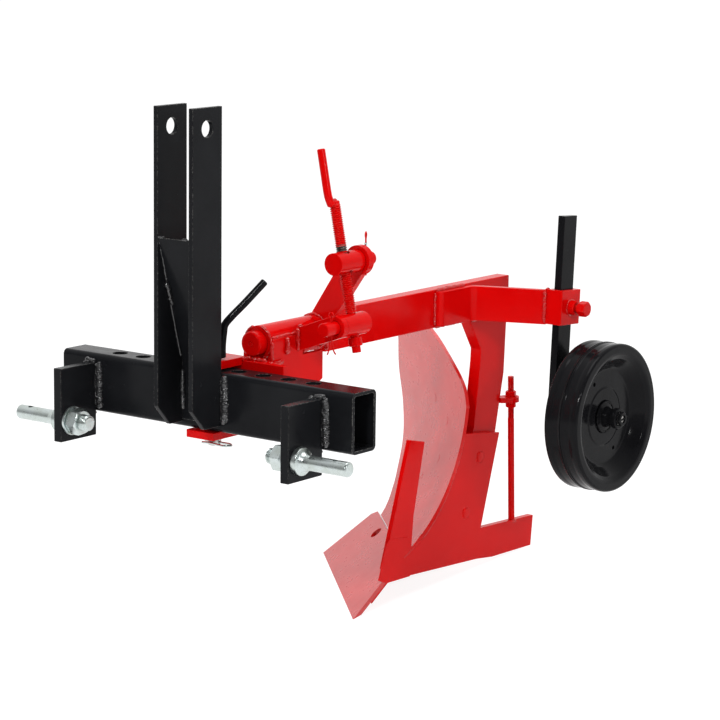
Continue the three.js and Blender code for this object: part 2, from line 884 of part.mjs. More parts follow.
// A level line on the mouldboard runs back from the shin at this angle to the line of travel.
function boardAngle(z) {
  return degrees(shareAngle + boardTwist * (z - boardFoot) / boardTwistHeight);
}

function boardY(x, z, outset) {
  const angle = boardAngle(z);
  return shinY(z, outset / Math.sin(angle)) + (landsideX - x) / Math.tan(angle);
}

// Slab between two such ruled faces, larger all round than the board.
function boardSlab(front, rear) {
  const columns = 6;
  const rows = 20;
  const positions = [];
  for (const outset of [front, rear]) {
    for (let r = 0; r <= rows; r += 1) {
      const z = THREE.MathUtils.lerp(boardFoot - 12, boardCrown + 10, r / rows);
      for (let c = 0; c <= columns; c += 1) {
        const x = THREE.MathUtils.lerp(landsideX, landsideX - boardReach - 10, c / columns);
        positions.push(x, boardY(x, z, outset), z);
      }
    }
  }
  const width = columns + 1;
  const sheet = width * (rows + 1);
  const triangles = [];
  const quad = (a, b, c, d) => triangles.push(a, b, c, a, c, d);
  for (let r = 0; r < rows; r += 1) {
    const left = r * width;
    const right = left + columns;
    for (let a = left; a < right; a += 1) {
      quad(a, a + width, a + width + 1, a + 1);
      quad(sheet + a, sheet + a + 1, sheet + a + width + 1, sheet + a + width);
    }
    quad(left, sheet + left, sheet + left + width, left + width);
    quad(right, right + width, sheet + right + width, sheet + right);
  }
  for (let c = 0; c < columns; c += 1) {
    const top = rows * width + c;
    quad(c, c + 1, sheet + c + 1, sheet + c);
    quad(top, sheet + top, sheet + top + 1, top + 1);
  }
  const geometry = new THREE.BufferGeometry();
  geometry.setAttribute('position', new THREE.Float32BufferAttribute(positions, 3));
  geometry.setIndex(triangles);
  return toOutwardSolid(geometry);
}

// Outline of the mouldboard seen from the front.
function boardOutline() {
  const wing = landsideX - boardReach;
  const shape = new THREE.Shape();
  shape.moveTo(landsideX, boardFoot - 10);
  shape.lineTo(landsideX, shinTop);
  shape.splineThru([
    [landsideX - 16, shinTop + 30],
    [landsideX - 61, shinTop + 67],
    [landsideX - 110, boardCrown - 12],
    [landsideX - 150, boardCrown],
    [wing + 48, boardCrown - 20],
    [wing + 22, boardCrown - 60],
    [wing, boardCrown - 120],
    [wing + 8, boardCrown - 180],
    [wing + 22, boardCrown - 230],
    [wing + 36, boardCrown - 275],
    [wing + 60, boardCrown - 305],
  ].map(([x, z]) => new THREE.Vector2(x, z)));
  shape.lineTo(wing + 106, boardFoot - 10);
  shape.closePath();
  return shape;
}

function makeMouldboard() {
  return boardSlab(0, boardThickness)
    .intersect(plateAcross(boardOutline(), 0, beamEnd))
    .subtract(shareBlade(fitGap));
}

// Cuts a piece off where the share and the mouldboard lie, and keeps its larger part.
function cutBySurface(solid) {
  const parts = solid
    .subtract(shareBlade(fitGap))
    .subtract(boardSlab(-fitGap, boardThickness + fitGap))
    .decompose();
  return parts.reduce((kept, part) => (part.volume() > kept.volume() ? part : kept));
}

// ---------------------------------------------------------------- landside, knife and frog

// Rows of points on the shin, inside the thickness of the mouldboard.
function shinLine(low, high, count) {
  return Array.from({ length: count }, (_, i) => {
    const z = THREE.MathUtils.lerp(low, high, i / (count - 1));
    return [boardY(landsideX, z, boardThickness / 2), z];
  });
}

function makeLandside() {
  const toe = 40;
  return cutBySurface(plateSideways(outline([
    [90, toe],
    [343, 15],
    [389, 7.5],
    [heelRear, 0],
    [heelRear + 8, heelHeight],
    [356, heelHeight + 14],
    [413, 219.5],
    ...shinLine(boardFoot, 238, 9).reverse(),
  ]), landsideInner, landsideX));
}

function makeKnifeBar() {
  const lean = 0.39;
  const width = knifeWidth;
  const drop = knifeTopZ - 45;
  return cutBySurface(plateSideways(outline([
    [knifeTopY - lean * drop, knifeTopZ - drop],
    [158, boardFoot],
    [166, 131],
    [knifeTopY + width, knifeTopZ - 11],
    [knifeTopY, knifeTopZ],
  ]), landsideX - knifeThickness, landsideX));
}

// Level rib that carries the mouldboard on the side of the leg.
function makeFrogRib(z, front, rear) {
  const inner = legRight - fitGap;
  const outer = landsideX - frogReach;
  return cutBySurface(plateFlat(outline([
    [inner, boardY(inner, z, boardThickness / 2)],
    [inner, rear],
    [inner - 20, rear],
    [outer, boardY(outer, z, boardThickness / 2)],
  ]), z, z + front));
}

// Support under the share, welded to the landside.
function makeFrogSole() {
  const length = shareLength();
  const top = -shareThickness - fitGap;
  return shareSheet([
    [34, 0],
    [shareDepth - 8, 0],
    [shareDepth - 8, length * 0.62],
    [60, length * 0.62],
    [34, length * 0.5],
  ], top - frogThickness, top)
    .subtract(block(landsideInner - fitGap, barLength, -barLength, barLength,
      -barLength, barLength));
}

function makeHeelStay() {
  const x = landsideX - landsideThickness / 2;
  const foot = heelHeight + 7;
  return bar(at(x, stayY, foot), at(x, stayY, stayTop), stayDiameter, 24);
}

function makeStayLug() {
  const x = landsideX - landsideThickness / 2;
  const shape = new THREE.Shape();
  shape.moveTo(legRight + 2, stayLugBase);
  shape.lineTo(legLeft, stayLugBase);
  shape.absarc(x, stayY, stayLugRadius, degrees(-45), degrees(165), false);
  shape.closePath();
  return plateFlat(shape, stayLugZ - stayLugThickness / 2, stayLugZ + stayLugThickness / 2)
    .subtract(bar(at(x, stayY, 0), at(x, stayY, 2 * stayLugZ), stayDiameter + 2 * fitGap));
}

// ---------------------------------------------------------------- assembly

const red = '#c80f0f';
const black = '#15161a';
const zinc = '#a9aca6';
const steel = '#8d8f8c';

const headstockPieces = [
  ['toolbar', makeToolbar(), black],
  ['mast_flat_left', makeMastFlat(1), black],
  ['mast_flat_right', makeMastFlat(-1), black],
  ['mast_brace', makeMastBrace(), black],
  ['link_plate_left', makeLinkPlate(1), black],
  ['link_plate_right', makeLinkPlate(-1), black],
  ['lower_link_pin_left', makeLinkPin(1), zinc],
  ['lower_link_pin_right', makeLinkPin(-1), zinc],
  ['pin_nut_left', makePinNut(1), zinc],
  ['pin_nut_right', makePinNut(-1), zinc],
  ['yoke_top_plate', makeYokeTopPlate(), red],
  ['yoke_bottom_plate', makeYokeBottomPlate(), red],
  ['yoke_back_plate', makeYokeBackPlate(), red],
  ['yoke_cheek_left', makeYokeCheek(1), red],
  ['yoke_cheek_right', makeYokeCheek(-1), red],
  ['pivot_sleeve', makePivotSleeve(), red],
  ['swivel_lug', makeSwivelLug(), red],
  ['hitch_pin', makeHitchPin(), black],
  ['hitch_pin_clip', makeHitchPinClip(), zinc],
];

const beamPieces = [
  ['pivot_shaft', makePivotShaft(), red],
  ['tilt_arm', makeTiltArm(), red],
  ['beam', makeBeam(), red],
  ['wheel_arm', makeWheelArm(), red],
  ['post_socket', makePostSocket(), red],
  ['clamp_screw', makeClampScrew(), red],
  ['leg', makeLeg(), red],
];

const screwPieces = [
  ['lower_trunnion', makeLowerTrunnion(), red],
  ['lower_cotter', makeCotter(lowerTrunnionX, lowerTrunnionZ, lugStart - cotterSetback,
    lowerCotterAbove, lowerCotterBelow), red],
  ['tilt_screw', makeTiltScrew(), red],
  ['upper_trunnion', makeUpperTrunnion(), red],
  ['upper_cotter', makeCotter(upperTrunnionX, upperTrunnionZ, armPlateRear + cotterSetback,
    upperCotterAbove, upperCotterBelow), zinc],
];

const wheelPieces = [
  ['wheel_post', makeWheelPost(), black],
  ['wheel_axle', makeWheelAxle(), steel],
  ['wheel_hub', makeWheelHub(), black],
  ['wheel_half_outer', makeWheelHalf(1), black],
  ['wheel_half_inner', makeWheelHalf(-1), black],
];

const bodyPieces = [
  ['share', makeShare(), red],
  ['mouldboard', makeMouldboard(), red],
  ['landside', makeLandside(), red],
  ['knife_bar', makeKnifeBar(), red],
  ['frog_rib_upper', makeFrogRib(frogUpper, frogThickness, 408), red],
  ['frog_rib_lower', makeFrogRib(frogLower, frogThickness, 370), red],
  ['frog_sole', makeFrogSole(), red],
  ['heel_stay', makeHeelStay(), red],
  ['stay_lug', makeStayLug(), red],
];

function addPieces(parent, pieces) {
  for (const [name, solid, color] of pieces) {
    const mesh = new THREE.Mesh(toGeometry(solid), new THREE.MeshStandardMaterial({ color }));
    mesh.name = name;
    parent.add(mesh);
  }
}

const ploughBody = new THREE.Group();
ploughBody.rotation.x = degrees(parkPitch);
ploughBody.position.set(0, sharePointY, sharePointZ);
addPieces(ploughBody, bodyPieces);

const implement = new THREE.Group();
implement.rotation.x = -degrees(parkPitch);
addPieces(implement, [...headstockPieces, ...beamPieces, ...screwPieces, ...wheelPieces]);
implement.add(ploughBody);

const plough = new THREE.Group();
plough.name = 'mouldboard_plough';
plough.add(implement);

const bounds = new THREE.Box3().setFromObject(plough, true);
const middle = bounds.getCenter(at(0, 0, 0));
implement.position.set(-middle.x, -middle.y, -bounds.min.z);

export default plough;
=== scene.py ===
"""Visual model of a single-furrow mouldboard plough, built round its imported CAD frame."""

import logging
import math
from dataclasses import dataclass, field
from enum import Enum
from typing import Callable, ClassVar, Iterable, Optional, Sequence

import bmesh
import bpy
from bmesh.types import BMesh
from bpy.types import Material, Node, NodeSocket, NodeTree, Object
from mathutils import Matrix, Vector, noise


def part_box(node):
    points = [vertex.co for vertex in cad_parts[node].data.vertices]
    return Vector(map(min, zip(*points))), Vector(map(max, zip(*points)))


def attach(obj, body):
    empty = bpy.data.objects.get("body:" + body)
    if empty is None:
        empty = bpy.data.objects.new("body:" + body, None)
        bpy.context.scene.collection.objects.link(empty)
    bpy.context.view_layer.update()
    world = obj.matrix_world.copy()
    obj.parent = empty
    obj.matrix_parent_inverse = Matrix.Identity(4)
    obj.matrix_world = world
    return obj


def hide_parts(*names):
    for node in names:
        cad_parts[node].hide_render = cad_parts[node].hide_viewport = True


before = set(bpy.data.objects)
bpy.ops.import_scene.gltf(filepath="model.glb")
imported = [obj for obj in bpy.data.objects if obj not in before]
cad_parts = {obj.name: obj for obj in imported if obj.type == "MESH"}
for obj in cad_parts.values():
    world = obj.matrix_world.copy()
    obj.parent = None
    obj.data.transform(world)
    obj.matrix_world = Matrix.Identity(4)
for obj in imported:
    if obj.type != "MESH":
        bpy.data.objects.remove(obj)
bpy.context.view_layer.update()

log = logging.getLogger("plough")

MM = 0.001
Row = tuple[float, float]
Point = tuple[float, float, float]
Colour = tuple[float, float, float]


class Slot(str, Enum):
    """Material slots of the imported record."""

    FRAME = "black_frame"
    BLACK = "black_parts"
    RED = "red_frame"
    SOIL = "red_soil_face"
    ZINC = "zinc_plate"
    STEEL = "bare_steel"


class Body(str, Enum):
    """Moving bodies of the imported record."""

    HEADSTOCK = "headstock"
    BEAM = "beam"
    SCREW = "screw"
    SWIVEL = "swivel"
    CARRIER = "wheel_carrier"
    WHEEL = "wheel"


# ---------------------------------------------------------------- datum


@dataclass(frozen=True)
class Datum:
    """Places of the implement frame and the body frame, both drawn in millimetres."""

    pitch: float = 2.6
    bar_depth: float = 56.0
    bar_height: float = 90.0
    heel_end: float = 514.0

    def implement(self) -> Matrix:
        """Finds the matrix from implement millimetres to metres.

        Returns:
            Matrix whose zero point is the middle of the toolbar's lower front edge.
        """
        low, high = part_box("toolbar")
        turn = Matrix.Rotation(-math.radians(self.pitch), 4, "X")
        middle = Vector((0.0, self.bar_depth / 2, self.bar_height / 2)) * MM
        origin = (low + high) / 2 - turn @ middle
        return Matrix.Translation(origin) @ turn @ Matrix.Scale(MM, 4)

    def body(self) -> Matrix:
        """Finds the matrix from plough-body millimetres, zero at the share point, to metres.

        Returns:
            Matrix that keeps the axes of the row frame.
        """
        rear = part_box("landside")[1].y
        return Matrix.Translation((0.0, rear - self.heel_end * MM, 0.0)) @ Matrix.Scale(MM, 4)


IMPLEMENT = Datum().implement()
SOLE = Datum().body()
METRES = Matrix.Identity(4)
ACROSS = (1, 0, 0)
ALONG = (0, 1, 0)
UP = (0, 0, 1)


# ---------------------------------------------------------------- finishes


class Shader:
    """Thin helper that adds nodes to one material and links them."""

    def __init__(self, tree: NodeTree) -> None:
        """Keeps the tree that nodes are added to."""
        self.tree = tree

    def add(self, kind: str, **settings: object) -> Node:
        """Adds a node and sets its properties and unlinked inputs.

        Args:
            kind: Node type without the ShaderNode prefix.
            settings: Property values, or input values named with underscores for spaces.

        Returns:
            The new node.
        """
        node = self.tree.nodes.new("ShaderNode" + kind)
        for key, value in settings.items():
            if hasattr(node, key):
                setattr(node, key, value)
            else:
                node.inputs[key.replace("_", " ")].default_value = value
        return node

    def link(self, source: NodeSocket, node: Node, target: str | int) -> None:
        """Links an output to a named input."""
        self.tree.links.new(source, node.inputs[target])

    def noise(self, scale: float, detail: float = 3.0, rough: float = 0.55,
              stretch: Point = (1.0, 1.0, 1.0)) -> NodeSocket:
        """Makes noise on object coordinates.

        Args:
            scale: Repeats per metre.
            detail: Octaves.
            rough: Weight of the finer octaves.
            stretch: Scale along each axis.

        Returns:
            Output between 0 and 1.
        """
        where = self.add("TexCoord")
        mapping = self.add("Mapping")
        mapping.inputs["Scale"].default_value = stretch
        self.link(where.outputs["Object"], mapping, "Vector")
        node = self.add("TexNoise", Scale=scale, Detail=detail, Roughness=rough)
        self.link(mapping.outputs["Vector"], node, "Vector")
        return node.outputs["Factor" if "Factor" in node.outputs else "Fac"]

    def ramp(self, value: NodeSocket, start: float, end: float, low: float = 0.0,
             high: float = 1.0) -> NodeSocket:
        """Maps a value from start..end to low..high, clamped."""
        node = self.add("MapRange", clamp=True)
        self.link(value, node, "Value")
        for name, number in (("From Min", start), ("From Max", end),
                             ("To Min", low), ("To Max", high)):
            node.inputs[name].default_value = number
        return node.outputs["Result"]

    def calculate(self, operation: str, first: NodeSocket, second: NodeSocket) -> NodeSocket:
        """Works out one operation on two values."""
        node = self.add("Math", operation=operation)
        self.link(first, node, 0)
        self.link(second, node, 1)
        return node.outputs[0]

    def blend(self, factor: NodeSocket, first: Colour | NodeSocket,
              second: Colour) -> NodeSocket:
        """Mixes a colour or link with a second colour."""
        node = self.add("Mix", data_type="RGBA")
        self.link(factor, node, 0)
        if isinstance(first, tuple):
            node.inputs[6].default_value = (*first, 1.0)
        else:
            self.link(first, node, 6)
        node.inputs[7].default_value = (*second, 1.0)
        return node.outputs[2]

    def edges(self, radius: float) -> NodeSocket:
        """Finds edges by comparing the rounded normal with the true one.

        Args:
            radius: Reach of an edge, in metres.

        Returns:
            Output near 1 on edges and 0 on flats.
        """
        rounded = self.add("Bevel", samples=4, Radius=radius)
        true = self.add("NewGeometry")
        dot = self.add("VectorMath", operation="DOT_PRODUCT")
        self.link(rounded.outputs["Normal"], dot, 0)
        self.link(true.outputs["Normal"], dot, 1)
        return self.ramp(dot.outputs["Value"], 0.995, 0.86)

    def bump(self, height: NodeSocket, distance: float,
             strength: float, under: Optional[NodeSocket] = None) -> NodeSocket:
        """Adds a bump layer over another.

        Args:
            height: Height between 0 and 1.
            distance: Height of 1, in metres.
            strength: Share of the effect kept.
            under: Normal of the layer below.

        Returns:
            The bumped normal.
        """
        node = self.add("Bump", Distance=distance, Strength=strength)
        self.link(height, node, "Height")
        if under is not None:
            self.link(under, node, "Normal")
        return node.outputs["Normal"]

    def haze(self, surface: Node, value: NodeSocket, roughness: float,
             spread: float) -> None:
        """Lets a value vary a surface's roughness.

        Args:
            surface: Principled node.
            value: Noise between 0 and 1.
            roughness: Least roughness.
            spread: What the value adds to it at most.
        """
        self.link(self.ramp(value, 0.3, 0.75, roughness, roughness + spread), surface,
                  "Roughness")


def blank_material(name: str) -> tuple[Material, Shader, Node]:
    """Makes a material with its default nodes.

    Args:
        name: Name of the material.

    Returns:
        The material, a helper for its nodes and its principled node.
    """
    material = bpy.data.materials.new(name)
    material.use_nodes = True
    tree = material.node_tree
    return material, Shader(tree), tree.nodes["Principled BSDF"]


@dataclass(frozen=True)
class Paint:
    """Sprayed or powder-coated paint over steel."""

    name: str
    base: Colour
    shade: Colour
    edge: Colour
    roughness: float = 0.22
    spread: float = 0.12
    specular: float = 0.35
    coat: float = 0.0
    coat_roughness: float = 0.05
    peel: float = 0.00006
    peel_scale: float = 420.0
    wave: float = 0.0005
    wave_scale: float = 22.0
    wear_and_sheen: float = 0.45
    edge_radius: float = 0.0012
    made: ClassVar[dict[str, Material]] = {}

    def material(self) -> Material:
        """Makes the material once.

        Returns:
            The material of this finish.
        """
        if self.name in Paint.made:
            return Paint.made[self.name]
        material, shader, surface = blank_material(self.name)
        surface.inputs["Specular IOR Level"].default_value = self.specular
        surface.inputs["Coat Weight"].default_value = self.coat
        surface.inputs["Coat Roughness"].default_value = self.coat_roughness
        cloud = shader.ramp(shader.noise(9.0, 4.0), 0.35, 0.7)
        colour = shader.blend(cloud, self.base, self.shade)
        # Lighter edge colour on speckled edges: paint wear, and on the black frame mostly a
        # painted edge highlight.
        chips_and_glints = shader.ramp(shader.noise(260.0, 4.0, 0.7), 0.45, 0.62, 0.0, self.wear_and_sheen)
        worn_and_lit_edges = shader.calculate("MULTIPLY", shader.edges(self.edge_radius), chips_and_glints)
        colour = shader.blend(worn_and_lit_edges, colour, self.edge)
        shader.link(colour, surface, "Base Color")
        shader.haze(surface, shader.noise(34.0, 5.0, 0.62), self.roughness, self.spread)
        waves = shader.bump(shader.noise(self.wave_scale, 2.0), self.wave, 0.5)
        peel = shader.bump(shader.noise(self.peel_scale, 2.0), self.peel, 0.8, waves)
        shader.link(peel, surface, "Normal")
        Paint.made[self.name] = material
        return material


@dataclass(frozen=True)
class Plating:
    """Plated or bare turned metal."""

    name: str
    base: Colour
    tint: Colour
    dark: Colour
    roughness: float = 0.3
    spread: float = 0.2
    grain: float = 0.00003
    grain_scale: float = 900.0
    stretch: Point = (1.0, 1.0, 1.0)
    made: ClassVar[dict[str, Material]] = {}

    def material(self) -> Material:
        """Makes the material once.

        Returns:
            The material of this finish.
        """
        if self.name in Plating.made:
            return Plating.made[self.name]
        material, shader, surface = blank_material(self.name)
        surface.inputs["Metallic"].default_value = 1.0
        cloud = shader.ramp(shader.noise(45.0, 4.0, 0.6), 0.35, 0.68)
        colour = shader.blend(cloud, self.base, self.tint)
        spots = shader.ramp(shader.noise(220.0, 5.0, 0.7), 0.58, 0.72, 0.0, 0.6)
        colour = shader.blend(spots, colour, self.dark)
        shader.link(colour, surface, "Base Color")
        shader.haze(surface, shader.noise(120.0, 5.0, 0.65), self.roughness, self.spread)
        grain = shader.noise(self.grain_scale, 3.0, 0.6, self.stretch)
        shader.link(shader.bump(grain, self.grain, 0.7), surface, "Normal")
        Plating.made[self.name] = material
        return material


Finish = Paint | Plating

RED = Paint("gloss_red", (0.66, 0.0015, 0.0015), (0.58, 0.001, 0.001), (0.80, 0.10, 0.08),
            roughness=0.13, spread=0.12, specular=0.08)
RED_WELD = Paint("red_weld", (0.60, 0.0015, 0.0015), (0.42, 0.001, 0.001), (0.80, 0.1, 0.08),
                 roughness=0.1, spread=0.14, specular=0.6, peel=0.0004, peel_scale=620.0)
RED_SOIL = Paint("soil_face_red", (0.62, 0.006, 0.005), (0.5, 0.004, 0.004),
                 (0.82, 0.2, 0.16), roughness=0.24, spread=0.12, specular=0.3,
                 coat=0.42, coat_roughness=0.12, wave=0.0009, wave_scale=12.0,
                 wear_and_sheen=0.08)
# Light grey edge colour, strong edge share and wide edge reach: a painted highlight along the
# frame's edges, partly paint wear.
BLACK_FRAME = Paint("frame_black", (0.0105, 0.011, 0.0125), (0.006, 0.0063, 0.0075),
                    (0.30, 0.29, 0.27), roughness=0.16, spread=0.14, specular=0.07,
                    wear_and_sheen=0.75, edge_radius=0.0016)
BLACK_WELD = Paint("black_weld", (0.02, 0.02, 0.022), (0.006, 0.006, 0.007),
                   (0.14, 0.13, 0.12), roughness=0.1, spread=0.2, specular=0.9,
                   peel=0.0005, peel_scale=520.0)
BLACK_GLOSS = Paint("gloss_black", (0.0085, 0.0085, 0.0095), (0.005, 0.005, 0.006),
                    (0.07, 0.068, 0.065), roughness=0.09, spread=0.08, specular=0.06,
                    wave=0.0012, wave_scale=14.0, wear_and_sheen=0.25)
ZINC = Plating("zinc_plate", (0.60, 0.66, 0.66), (0.50, 0.55, 0.52), (0.20, 0.21, 0.19),
               roughness=0.22, spread=0.2)
STEEL = Plating("turned_steel", (0.52, 0.51, 0.49), (0.42, 0.41, 0.39), (0.1, 0.09, 0.08),
                roughness=0.25, spread=0.22)
OILED = Plating("oiled_thread", (0.20, 0.19, 0.17), (0.12, 0.11, 0.10), (0.04, 0.035, 0.03),
                roughness=0.3, spread=0.2)
SLOT_FINISH: dict[Slot, Finish] = {
    Slot.FRAME: BLACK_FRAME, Slot.BLACK: BLACK_GLOSS, Slot.RED: RED,
    Slot.SOIL: RED_SOIL, Slot.ZINC: ZINC, Slot.STEEL: STEEL,
}


# ---------------------------------------------------------------- mesh tools


def merged_node(node: str) -> BMesh:
    """Copies a CAD node's mesh with its corners merged and its flat faces whole.

    Args:
        node: Name of the CAD node.

    Returns:
        The copy, in metres.
    """
    bm = bmesh.new()
    bm.from_mesh(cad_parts[node].data)
    bmesh.ops.remove_doubles(bm, verts=bm.verts[:], dist=2e-6)
    bmesh.ops.dissolve_limit(bm, angle_limit=math.radians(0.6), use_dissolve_boundaries=False,
                             verts=bm.verts[:], edges=bm.edges[:], delimit=set())
    return bm


def ease(bm: BMesh, width: float, segments: int = 3, least: float = 28.0,
         chosen: Optional[Callable[[Vector, Vector], bool]] = None) -> None:
    """Rounds the edges that turn by more than an angle.

    Args:
        bm: Mesh to change.
        width: Setback of the round, in the mesh's unit.
        segments: Faces across the round.
        least: Smallest turn, in degrees.
        chosen: Test of an edge's two ends, or None for all edges.
    """
    limit = math.radians(least)
    edges = [e for e in bm.edges if len(e.link_faces) == 2
             and e.calc_face_angle(0.0) > limit
             and (chosen is None or chosen(e.verts[0].co, e.verts[1].co))]
    bmesh.ops.bevel(bm, geom=edges, offset=width, offset_type="OFFSET", segments=segments,
                    profile=0.5, affect="EDGES", clamp_overlap=True, material=-1)


def fillet(rows: Sequence[Row], radius: float, steps: int = 4) -> list[Row]:
    """Rounds the inner corners of a turned profile.

    Args:
        rows: Rows of (distance along the axis, radius).
        radius: Largest setback at a corner.
        steps: Faces round each corner.

    Returns:
        The rounded rows.
    """
    out = [rows[0]]
    for before, corner, after in zip(rows, rows[1:], rows[2:]):
        a, c, b = Vector(before), Vector(corner), Vector(after)
        reach = min(radius, 0.45 * (a - c).length, 0.45 * (b - c).length)
        turn = (c - a).angle(b - c, 0.0)
        if turn < 0.15 or reach < 1e-4:
            out.append(corner)
            continue
        start, end = c + (a - c).normalized() * reach, c + (b - c).normalized() * reach
        for i in range(steps + 1):
            t = i / steps
            p = start * (1 - t) ** 2 + c * 2 * t * (1 - t) + end * t * t
            out.append((p.x, p.y))
    out.append(rows[-1])
    return out


def aim(origin: Point, direction: Point) -> Matrix:
    """Matrix that takes local +Z to a direction at an origin."""
    turn = Vector((0.0, 0.0, 1.0)).rotation_difference(Vector(direction).normalized())
    return Matrix.Translation(origin) @ turn.to_matrix().to_4x4()


def lathe(rows: Sequence[Row], origin: Point, direction: Point, round_by: float = 0.0,
          steps: int = 64) -> BMesh:
    """Turns a profile round an axis.

    Args:
        rows: Rows of (distance along the axis, radius); equal ends close a ring.
        origin: Zero point on the axis.
        direction: Direction of the axis.
        round_by: Fillet at the corners.
        steps: Faces round the axis.

    Returns:
        A closed turned solid.
    """
    profile = fillet(rows, round_by) if round_by else list(rows)
    bm = bmesh.new()
    verts = [bm.verts.new((radius, 0.0, along)) for along, radius in profile]
    edges = [bm.edges.new(pair) for pair in zip(verts, verts[1:])]
    bmesh.ops.spin(bm, geom=verts + edges, cent=(0, 0, 0), axis=UP, dvec=(0, 0, 0),
                   angle=math.tau, steps=steps, use_merge=True, use_duplicate=False)
    bmesh.ops.remove_doubles(bm, verts=bm.verts[:], dist=1e-4)
    bmesh.ops.recalc_face_normals(bm, faces=bm.faces[:])
    bmesh.ops.transform(bm, matrix=aim(origin, direction), verts=bm.verts[:])
    return bm


def hexagon(across: float, height: float, origin: Point, direction: Point,
            bore: float = 0.0, turn: float = 0.0) -> BMesh:
    """Makes a hexagon nut or bolt head with chamfered corners.

    Args:
        across: Width over the flats.
        height: Thickness.
        origin: Middle of its seat.
        direction: Direction away from the seat.
        bore: Diameter of the hole, or 0 for a head.
        turn: Turn about its axis, in degrees.

    Returns:
        The solid.
    """
    corner = across / math.cos(math.pi / 6) / 2
    prism = bmesh.new()
    spot = Matrix.Rotation(math.radians(turn), 4, "Z") @ Matrix.Translation(
        (0.0, 0.0, height / 2))
    bmesh.ops.create_cone(prism, cap_ends=True, segments=6, radius1=corner, radius2=corner,
                          depth=height, matrix=spot)
    drop = 0.12 * across
    hole = [(height, bore / 2), (0.0, bore / 2)] if bore else [(height, 0.0)]
    start = [(0.0, bore / 2)] if bore else [(0.0, 0.0)]
    turned = lathe([*start, (0.0, across * 0.47), (drop * 0.55, corner + 0.1),
                    (height - drop * 0.55, corner + 0.1), (height, across * 0.47), *hole],
                   (0, 0, 0), UP, steps=48)
    solid = combine(prism, turned, "INTERSECT")
    bmesh.ops.transform(solid, matrix=aim(origin, direction), verts=solid.verts[:])
    return solid


def combine(first: BMesh, second: BMesh, operation: str) -> BMesh:
    """Combines two closed solids.

    Args:
        first: Solid that is kept or cut; it is freed.
        second: The other solid; it is freed.
        operation: UNION, DIFFERENCE or INTERSECT.

    Returns:
        The result.
    """
    pair = []
    for index, bm in enumerate((first, second)):
        mesh = bpy.data.meshes.new(f"combine_{index}")
        bm.to_mesh(mesh)
        bm.free()
        thing = bpy.data.objects.new(mesh.name, mesh)
        bpy.context.scene.collection.objects.link(thing)
        pair.append(thing)
    modifier = pair[0].modifiers.new("combine", "BOOLEAN")
    modifier.operation = operation
    modifier.solver = "EXACT"
    modifier.object = pair[1]
    bpy.context.view_layer.update()
    graph = bpy.context.evaluated_depsgraph_get()
    result = bmesh.new()
    result.from_object(pair[0], graph)
    for thing in pair:
        mesh = thing.data
        bpy.data.objects.remove(thing)
        bpy.data.meshes.remove(mesh)
    return result


def drill(bm: BMesh, start: Point, end: Point, diameter: float, steps: int = 40) -> BMesh:
    """Drills a round hole between two points.

    Args:
        bm: Solid to drill; it is freed.
        start: One end of the drill.
        end: Other end of the drill.
        diameter: Hole diameter.
        steps: Faces round the hole.

    Returns:
        The drilled solid.
    """
    axis = Vector(end) - Vector(start)
    rows = [(0.0, 0.0), (0.0, diameter / 2), (axis.length, diameter / 2), (axis.length, 0.0)]
    return combine(bm, lathe(rows, start, tuple(axis), steps=steps), "DIFFERENCE")


def gather(bms: Iterable[BMesh]) -> BMesh:
    """Joins meshes into one without combining their shapes; the parts are freed."""
    whole = bmesh.new()
    for part in bms:
        mesh = bpy.data.meshes.new("gather")
        part.to_mesh(mesh)
        part.free()
        whole.from_mesh(mesh)
        bpy.data.meshes.remove(mesh)
    return whole


def spline(points: Sequence[Point], step: float) -> list[Vector]:
    """Runs a smooth line through points.

    Args:
        points: Points on the line.
        step: Spacing of the result.

    Returns:
        Evenly spaced points.
    """
    dots = [Vector(p) for p in points]
    line = [dots[0] * 2 - dots[1], *dots, dots[-1] * 2 - dots[-2]]
    fine: list[Vector] = []
    for a, b, c, d in zip(line, line[1:], line[2:], line[3:]):
        count = max(2, int((c - b).length / step * 2))
        for i in range(count):
            t = i / count
            fine.append(0.5 * (2 * b + (c - a) * t + (2 * a - 5 * b + 4 * c - d) * t * t
                               + (3 * b - a - 3 * c + d) * t ** 3))
    fine.append(line[-2].copy())
    lengths = [0.0]
    for a, b in zip(fine, fine[1:]):
        lengths.append(lengths[-1] + (b - a).length)
    count = max(2, round(lengths[-1] / step))
    out, at = [], 0
    for i in range(count + 1):
        want = lengths[-1] * i / count
        while at < len(fine) - 2 and lengths[at + 1] < want:
            at += 1
        share = (want - lengths[at]) / max(1e-9, lengths[at + 1] - lengths[at])
        out.append(fine[at].lerp(fine[at + 1], share))
    return out


def sweep(path: Sequence[Vector], radius: Callable[[float, float], float],
          sides: int = 16) -> BMesh:
    """Sweeps a round section along a path, with closed ends.

    Args:
        path: Points of the path.
        radius: Radius at (distance from the start, share of the turn).
        sides: Faces round the section.

    Returns:
        The swept solid.
    """
    rows = len(path) - 1
    normal = (path[1] - path[0]).orthogonal().normalized()
    frames, along = [], [0.0]
    for i, here in enumerate(path):
        tangent = (path[min(i + 1, rows)] - path[max(i - 1, 0)]).normalized()
        normal = (normal - tangent * normal.dot(tangent)).normalized()
        frames.append((normal.copy(), tangent.cross(normal)))
        if i:
            along.append(along[-1] + (here - path[i - 1]).length)
    bm = bmesh.new()
    bmesh.ops.create_grid(bm, x_segments=rows, y_segments=sides, size=1.0)
    for vert in bm.verts:
        i = round((vert.co.x + 1) / 2 * rows)
        share = round((vert.co.y + 1) / 2 * sides) / sides % 1.0
        side, up = frames[i]
        angle = share * math.tau
        reach = radius(along[i], share)
        vert.co = path[i] + (side * math.cos(angle) + up * math.sin(angle)) * reach
    bmesh.ops.remove_doubles(bm, verts=bm.verts[:], dist=1e-5)
    rims = [e for e in bm.edges if e.is_boundary]
    bmesh.ops.holes_fill(bm, edges=rims, sides=0)
    bmesh.ops.recalc_face_normals(bm, faces=bm.faces[:])
    return bm


